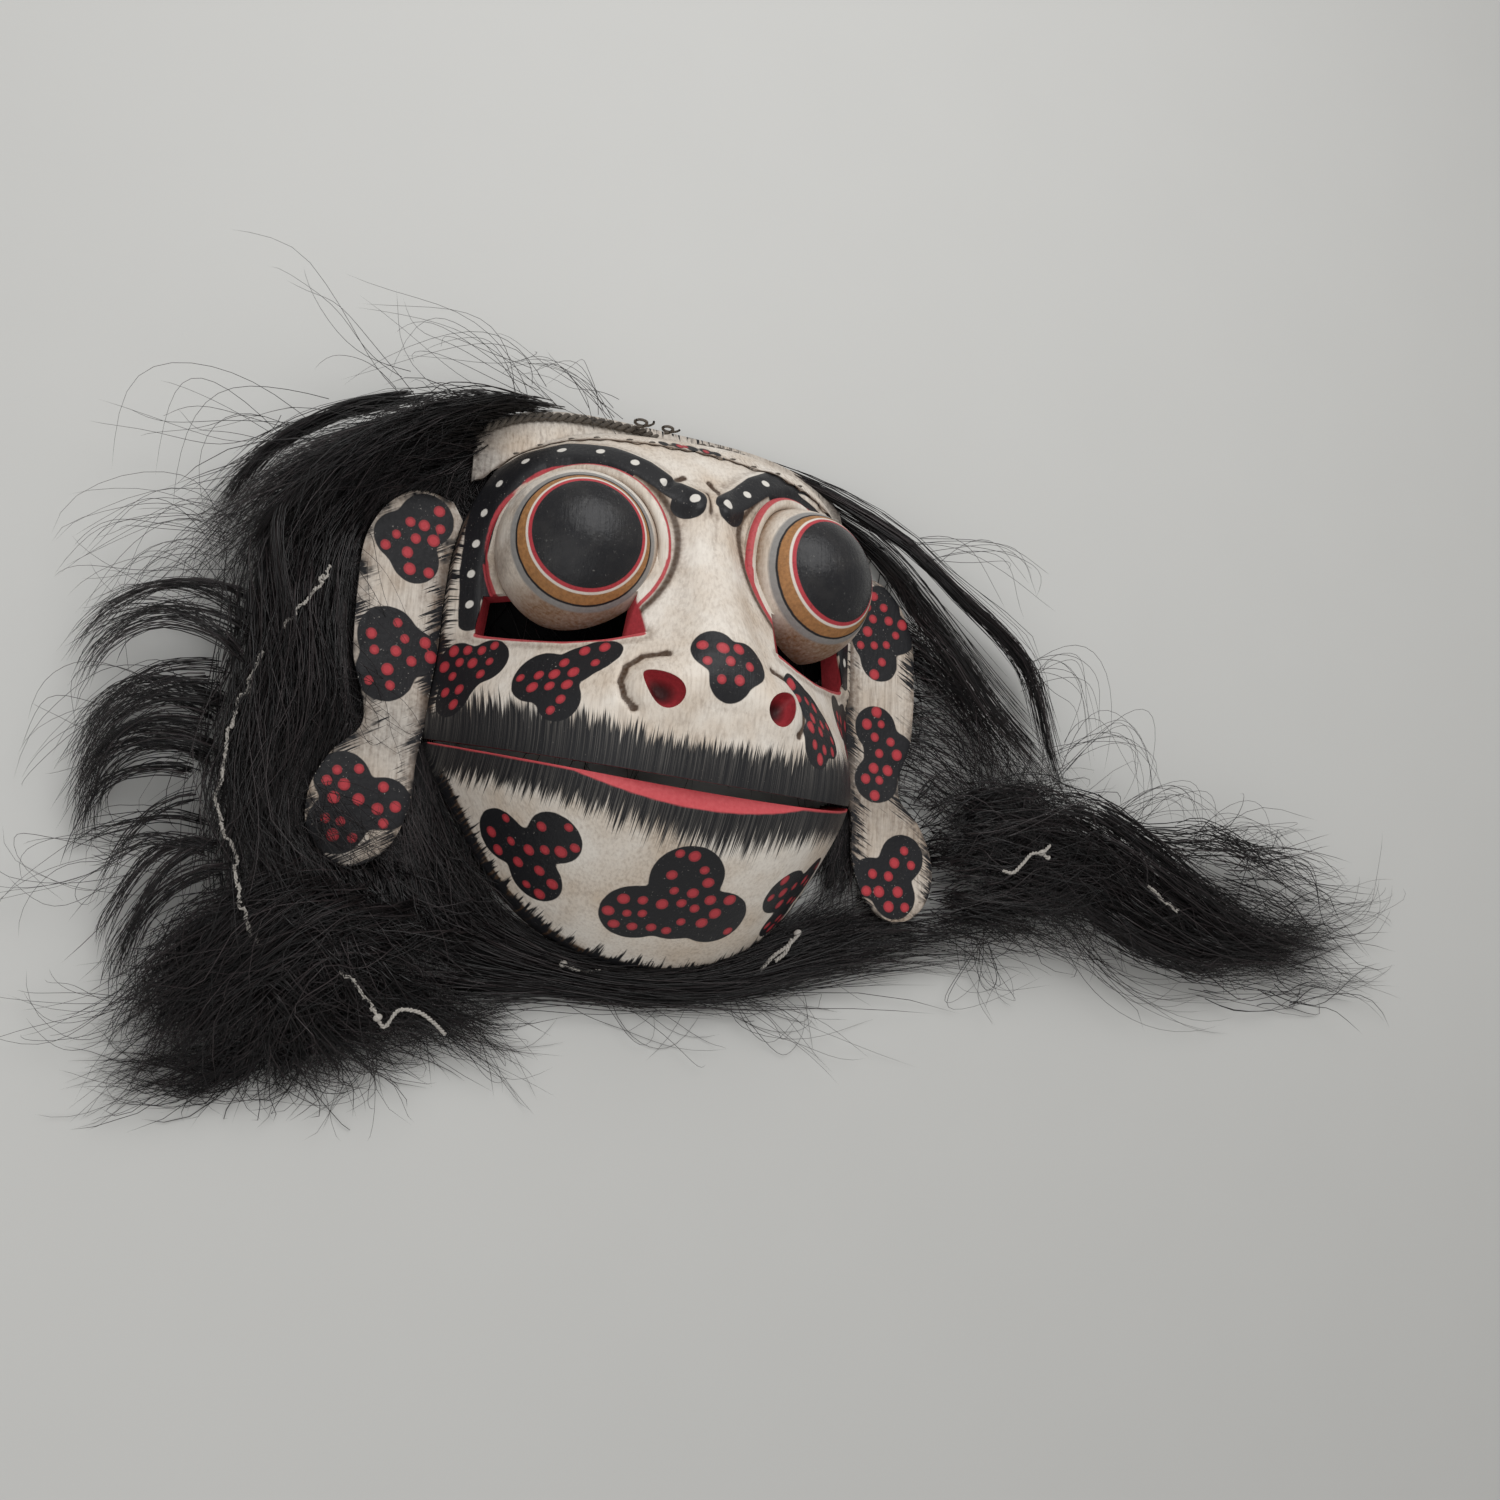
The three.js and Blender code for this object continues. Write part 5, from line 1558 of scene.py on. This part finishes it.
    # Dark hair laid flat under the whole mask: a dark sheet that stands in for the shade inside the hollow,
    # so that the slits and the mouth show dark
    "behind": Lock("hair_left", 250, 5, 0.8, 5, 5, 0.5, 0.2, 0.5, [
        [(-98, 122, 2), (-102, 84, 3), (-104, 44, 3), (-100, -16, 2)],
        [(-46, 132, 2), (-50, 90, 3), (-50, 46, 3), (-46, -20, 2)],
        [(0, 136, 2), (0, 92, 3), (0, 48, 3), (0, -22, 2)],
        [(46, 132, 2), (50, 90, 3), (50, 46, 3), (46, -20, 2)],
        [(98, 122, 2), (102, 84, 3), (104, 44, 3), (100, -16, 2)],
    ]),
}
# Loose strands, as (root, middle, tip, count, scatter in millimetres)
FLYAWAYS = [
    ((-112, 130, 30), (-142, 146, 40), (-172, 168, 30), 5, 20),
    ((-60, 148, 16), (-92, 158, 30), (-128, 152, 34), 14, 18),
    ((-30, 148, 14), (-50, 156, 24), (-70, 152, 24), 14, 12),
    ((-150, 108, 26), (-178, 108, 30), (-204, 92, 18), 12, 20),
    ((-168, 64, 22), (-190, 66, 26), (-214, 52, 14), 22, 16),
    ((-165, 40, 26), (-192, 46, 26), (-214, 30, 12), 18, 14),
    ((-180, 0, 30), (-208, -4, 22), (-224, -22, 8), 14, 16),
    ((-178, -50, 28), (-204, -62, 20), (-222, -66, 6), 14, 18),
    ((-170, -96, 16), (-194, -106, 10), (-214, -108, 3), 14, 16),
    ((-150, -106, 12), (-170, -124, 6), (-190, -134, 2), 22, 14),
    ((-110, -102, 12), (-104, -118, 5), (-112, -132, 2), 18, 18),
    ((-80, -96, 12), (-58, -108, 6), (-36, -114, 2), 22, 14),
    ((-128, -30, 20), (-112, -40, 14), (-96, -38, 9), 46, 16),
    ((-126, 20, 18), (-116, 14, 11), (-104, 2, 9), 16, 18),
    ((-126, 70, 18), (-116, 60, 13), (-108, 40, 10), 8, 16),
    ((120, 118, 18), (150, 118, 30), (168, 100, 30), 10, 14),
    ((175, 70, 18), (198, 70, 26), (210, 40, 20), 10, 14),
    ((188, 30, 20), (222, 44, 30), (236, 10, 20), 12, 16),
    ((220, 4, 24), (250, 20, 30), (268, -2, 20), 14, 16),
    ((260, -4, 20), (300, 8, 22), (330, -6, 10), 14, 16),
    ((330, -30, 8), (370, -22, 10), (402, -8, 4), 18, 16),
    ((300, -48, 8), (350, -54, 6), (394, -52, 2), 16, 12),
    ((200, -44, 14), (240, -66, 6), (290, -70, 2), 16, 12),
    ((150, -50, 12), (160, -66, 6), (176, -74, 2), 22, 18),
    ((40, -84, 6), (60, -92, 4), (90, -92, 2), 22, 20),
    ((-20, -84, 6), (10, -91, 4), (30, -92, 2), 14, 18),
]
# Stitched white edges of the hair, and ends of tying string, as paths
WEFTS = [
    [(-134, 57, 33), (-139, 47, 34), (-144, 39, 34), (-149, 31, 34)],
    [(-155, 19, 33), (-159, 6, 33), (-162, -6, 33), (-163, -24, 33), (-164, -34, 32), (-161, -41, 32),
     (-155, -54, 33), (-152, -67, 31), (-145, -82, 28)],
    [(-115, -87, 27), (-109, -92, 26), (-103, -100, 24)],
    [(232, -24, 29), (241, -29, 28), (250, -34, 26)],
]
STRINGS = [
    [(-103, -100, 26), (-98, -106, 23), (-94, -100, 26), (-88, -100, 26), (-81, -103, 22), (-75, -107, 17)],
    [(-29, -78, 8), (-22, -80, 9), (-15, -79, 8)],
    [(66, -58, 16), (60, -64, 17), (55, -68, 16), (51, -74, 12)],
    [(62, -61, 17), (59, -67, 17), (56, -70, 15)],
    [(154, -25, 30), (157, -26, 32), (161, -22, 34), (166, -17, 34), (171, -16, 34), (176, -12, 33)],
    [(171, -16, 34), (174, -18, 34), (176, -17, 32)],
]
STRING_KNOTS = [(-101, -103, 25), (-30, -77.5, 8), (65, -58, 16), (171, -16, 34)]
# Wefts: distance between points, wander and depth in the hair, each held for a run of points, radius
# of a ply and its unevenness, and length of a turn
WEFT_STEP, WEFT_WANDER, WANDER_RUN, WEFT_BURY, BURY_RUN = 0.8, 0.7, 4, 3.5, 9
WEFT_PLY, WEFT_UNEVENNESS, WEFT_TURN = 0.36, 0.2, 2.6
# Strings: radius of a ply, its distance from the string's middle, length of a turn, and the knots
STRING_PLY, PLY_OFFSET, STRING_TURN = 0.45, 0.4, 3.2
KNOT_SIZE, KNOT_TURN = (1.7, 1.3, 1.3), 0.5
# Colour of the strings and the darker colour in the hollows of their fuzz, dirt with painted shade
STRING_COLOUR, STRING_DIRT_AND_SHADE = (0.60, 0.57, 0.53), (0.2, 0.18, 0.155)


def lock_sheet(guides, across, along):
    """Point of a lock: smooth along each guide, and straight from each guide to the next and a little
    way past the outer ones."""
    steps, past = 60, 0.4
    sheet = np.stack([along_path(guide, steps) for guide in guides])
    across = np.clip(across, -past, len(guides) - 1 + past)
    along = np.clip(along, 0, 1) * (steps - 1.001)
    i, j = np.clip(across.astype(int), 0, len(guides) - 2), along.astype(int)
    a, b = (across - i)[..., None], (along - j)[..., None]
    near = sheet[i, j] * (1 - b) + sheet[i, j + 1] * b
    far = sheet[i + 1, j] * (1 - b) + sheet[i + 1, j + 1] * b
    return near * (1 - a) + far * a


def eased(values, low, high):
    """Values drawn softly inside two limits: past an ease before each limit they level off towards it."""
    over = np.maximum(values - high + HAIR_EASE, 0)
    under = np.maximum(low + HAIR_EASE - values, 0)
    held = HAIR_EASE * (np.tanh(over / HAIR_EASE) - np.tanh(under / HAIR_EASE))
    return values - over + under + held


def settled(points):
    """Keeps hair within its limits, above the floor, under the ears where they cover it, and on a slope
    that rises away from their edges."""
    x, y, z = np.moveaxis(points, -1, 0)
    x, y = eased(x, *HAIR_ACROSS), eased(y, *HAIR_UP)
    beyond = np.abs(x) - np.interp(y, *zip(*EAR_REACH), left=0, right=0) - 1.0
    slope = EAR_FLOOR - HAIR_UNDER_EAR + HAIR_SLOPE * np.maximum(beyond, 0)
    top = np.where(np.abs(x) > TEMPLE_HALF_WIDTH - 6, slope, FAR)
    return np.stack([x, y, np.clip(z, HAIR_FLOOR, top)], -1)


def lock_strands(rng, lock, count, steps=10):
    """Strands gathered in clumps between the guides, each with its own start, length and depth, a wave
    that grows to the tip, and tips that splay out. Wild strands leave their clump and cross the lock."""
    clumps = max(count // lock.clump, 2)
    clump = rng.integers(0, clumps, count)
    wide = len(lock.guides) - 1
    stray = np.where(rng.uniform(0, 1, count) < WILD_SHARE, WILD_SPREAD, 1.0)
    middle = rng.uniform(*CLUMP_PLACES, clumps)[clump] * wide
    begin = rng.uniform(0, lock.start, clumps)[clump] + rng.uniform(0, START_SCATTER, count)
    length = (1 - begin) * rng.uniform(lock.least, 1.0, clumps)[clump] * rng.uniform(*STRAND_LENGTHS, count)
    share = np.linspace(0, 1, steps)
    along = begin[:, None] + length[:, None] * share
    gather = rng.normal(0, lock.loose, count) * stray
    drift = rng.normal(0, CLUMP_DRIFT * wide, clumps)[clump]
    drift = drift + rng.normal(0, STRAND_DRIFT * min(wide, DRIFT_WIDTH), count) * stray
    across = middle[:, None] + gather[:, None] * (1.2 - 0.5 * share) + drift[:, None] * share
    points = lock_sheet(lock.guides, across, along)
    depth = np.sqrt(rng.uniform(*CLUMP_HEIGHTS, clumps))[clump] * rng.uniform(*STRAND_HEIGHTS, count)
    points[..., 2] *= np.minimum(depth * (0.92 + 0.08 * stray), HEIGHT_LIMIT)[:, None]
    phase = rng.uniform(0, 1, (clumps, 3))[clump]
    phase = phase + rng.normal(0, WAVE_SCATTER, (count, 3)) * stray[:, None]
    turns = rng.uniform(*CLUMP_WAVES, (clumps, 3))[clump] * rng.uniform(*STRAND_WAVES, (count, 1))
    wave = np.sin(2 * math.pi * (turns[:, None] * share[:, None] + phase[:, None]))
    points += lock.wave * wave * (0.15 + share[:, None]) * FLATTENED
    splay = lock.splay * rng.normal(0, 0.5, (count, 1, 3)) * stray[:, None, None]
    points += np.clip(splay, -SPLAY_LIMIT, SPLAY_LIMIT) * (share**SPLAY_POWER)[:, None] * FLATTENED
    points += rng.normal(0, UNEVENNESS, points.shape)
    return settled(points)


def flyaway_strands(rng, steps=14):
    """Loose single strands: a bow from root through middle to tip, each point scattered for each
    strand, with a slow wave."""
    share = np.linspace(0, 1, steps)[:, None]
    made = []
    for *ends, count, scatter in FLYAWAYS:
        a, b, c = (np.array(p) + rng.normal(0, k, (count, 1, 3)) * LOOSE_FLATTENED * scatter
                   for p, k in zip(ends, LOOSE_SCATTER))
        bow = 2 * b - (a + c) / 2
        path = a * (1 - share) ** 2 + 2 * bow * share * (1 - share) + c * share**2
        phase, turns = rng.uniform(0, 1, (count, 1, 3)), rng.uniform(0.4, 1.3, (count, 1, 3))
        made.append(path + LOOSE_WAVE * share * np.sin(2 * math.pi * (turns * share + phase)))
    x, y, z = np.moveaxis(np.concatenate(made), -1, 0)
    z = np.clip(z, HAIR_FLOOR, HAIR_CEILING)
    return np.stack([eased(x, *HAIR_ACROSS), eased(y, *HAIR_UP), z], -1)


def core_surface(guides, height):
    """Dark body of a lock: the gridded square rounded to a disc on the sheet of its guides, at a share
    of their height and rounded down to the floor at its edge."""
    def move(u, v, w):
        a, b = u * np.sqrt(1 - v * v / 2), v * np.sqrt(1 - u * u / 2)
        across = (CORE_ACROSS[0] + CORE_ACROSS[1] * a) * (len(guides) - 1)
        point = lock_sheet(guides, across, CORE_ALONG[0] + CORE_ALONG[1] * b)
        rounded = np.sqrt(np.clip(1 - (a * a + b * b) ** 2, 0, 1))
        point[..., 2] = HAIR_FLOOR + CORE_EDGE + height * point[..., 2] * rounded
        x, y, top = np.moveaxis(settled(point), -1, 0)
        return x, y, np.where(w > 0, np.maximum(top, HAIR_FLOOR + CORE_EDGE), HAIR_FLOOR)
    return box_surface((24, 24, 1), move)


def outward(surface):
    """The same closed surface with its faces turned to the outside, told from its signed volume."""
    points, faces = surface
    a, b, c, d = (points[faces[:, k % faces.shape[1]]] for k in range(4))
    volume = np.sum(np.cross(a, b) * c) + np.sum(np.cross(a, c) * d)
    return points, faces if volume > 0 else faces[:, ::-1]


def hair_object(name, strands, radius, tone, core=None):
    """One piece of many strands, with the tone of each stored at its points."""
    parts = [strand_surface(strands, radius)]
    tone = np.repeat(tone, len(parts[0][0]) // len(strands))
    if core is not None:
        parts.append(outward(core))
        tone = np.concatenate([tone, np.full(len(core[0]), -1.0)])
    made = new_object(name, joined(*parts))
    set_values(made, tone=tone)
    return made


class FROGMASK_OT_hair(bpy.types.Operator):
    """Loose black hair in locks of single strands"""
    bl_idname = "frogmask.hair"
    bl_label = "Hair"

    def execute(self, context):
        settings = context.scene.frog_mask_hair
        material = loose_hair(settings)
        rng = np.random.default_rng(settings.seed)
        thickness = settings.thickness / MM / 2
        claimed = set()
        for name, lock in LOCKS.items():
            count = int(lock.strands * settings.fullness)
            core = core_surface(lock.guides, lock.core) if lock.core else None
            tone = rng.uniform(0, 1, count) ** 3
            strands = lock_strands(rng, lock, count)
            radius = thickness * rng.uniform(*STRAND_THICKNESS, count)
            made = hair_object("lock_" + name, strands, radius, tone, core)
            shade(made, material, 180)
            place(made, "mask", "hair", *({lock.node} - claimed))
            claimed.add(lock.node)
        strands = flyaway_strands(rng)
        radius = np.full(len(strands), LOOSE_THICKNESS * thickness)
        made = hair_object("loose_strands", strands, radius, rng.uniform(0, LOOSE_TONE, len(strands)))
        shade(made, material, 180)
        place(made, "mask", "hair")
        return {"FINISHED"}


def in_steps(values, run, count):
    """Values that each hold for a run of points."""
    return np.repeat(values, run, 0)[:count]


def stitched_weft(rng, weft):
    """A thin uneven cord along a path, that wanders sideways and dips into the hair in short runs."""
    length = path_lengths(np.array(weft, float))[-1]
    line = along_path(weft, int(length / WEFT_STEP))
    count = len(line)
    wander = in_steps(rng.normal(0, WEFT_WANDER, (count // WANDER_RUN + 1, 3)), WANDER_RUN, count)
    radius = WEFT_PLY + WEFT_UNEVENNESS * rng.uniform(-1, 1, count)
    buried = in_steps(rng.uniform(0, WEFT_BURY, (count // BURY_RUN + 1, 1)), BURY_RUN, count)
    line = line + wander * (1, 1, 0.6) - buried * (0, 0, 1)
    return twisted_cord(line, 2, radius, PLY_OFFSET, WEFT_TURN, 6)


class FROGMASK_OT_strings(bpy.types.Operator):
    """Stitched wefts and knotted string in the hair"""
    bl_idname = "frogmask.strings"
    bl_label = "Wefts and strings"

    def execute(self, context):
        rng = np.random.default_rng(context.scene.frog_mask_hair.seed + 1)
        parts = [stitched_weft(rng, weft) for weft in WEFTS]
        for string in STRINGS:
            parts.append(twisted_cord(along_path(string, 40), 2, STRING_PLY, PLY_OFFSET, STRING_TURN, 6))
        for knot in STRING_KNOTS:
            parts.append(ball_surface(knot, KNOT_SIZE, 6, KNOT_TURN))
        made = new_object("wefts_and_strings", joined(*parts))
        shade(made, cotton("mask_string", STRING_COLOUR, STRING_DIRT_AND_SHADE))
        place(made, "mask", "bound_cord")
        return {"FINISHED"}


OPERATORS = (FROGMASK_OT_stage, FROGMASK_OT_carving, FROGMASK_OT_ears, FROGMASK_OT_band, FROGMASK_OT_hair,
             FROGMASK_OT_strings)


class FROGMASK_PT_panel(bpy.types.Panel):
    """Lists the mask's pieces and settings"""
    bl_idname = "FROGMASK_PT_panel"
    bl_label = "Frog Mask"
    bl_space_type = "VIEW_3D"
    bl_region_type = "UI"
    bl_category = "Frog Mask"

    def draw(self, context):
        for operator in OPERATORS:
            self.layout.operator(operator.bl_idname)
        for name in SETTINGS:
            group = getattr(context.scene, name)
            for key in group.__annotations__:
                self.layout.prop(group, key)


SETTINGS = {
    "frog_mask_paint": FrogMaskPaint,
    "frog_mask_carving": FrogMaskCarving,
    "frog_mask_hair": FrogMaskHair,
    "frog_mask_stage": FrogMaskStage,
}
CLASSES = (*SETTINGS.values(), *OPERATORS, FROGMASK_PT_panel)


def register():
    for cls in CLASSES:
        bpy.utils.register_class(cls)
    for name, group in SETTINGS.items():
        setattr(bpy.types.Scene, name, bpy.props.PointerProperty(type=group))


def unregister():
    for name in SETTINGS:
        delattr(bpy.types.Scene, name)
    for cls in reversed(CLASSES):
        bpy.utils.unregister_class(cls)


def main():
    """Makes the stage and each piece in order."""
    register()
    bpy.ops.frogmask.stage()
    bpy.ops.frogmask.carving()
    bpy.ops.frogmask.ears()
    bpy.ops.frogmask.band()
    bpy.ops.frogmask.hair()
    bpy.ops.frogmask.strings()


if __name__ == "__main__":
    main()
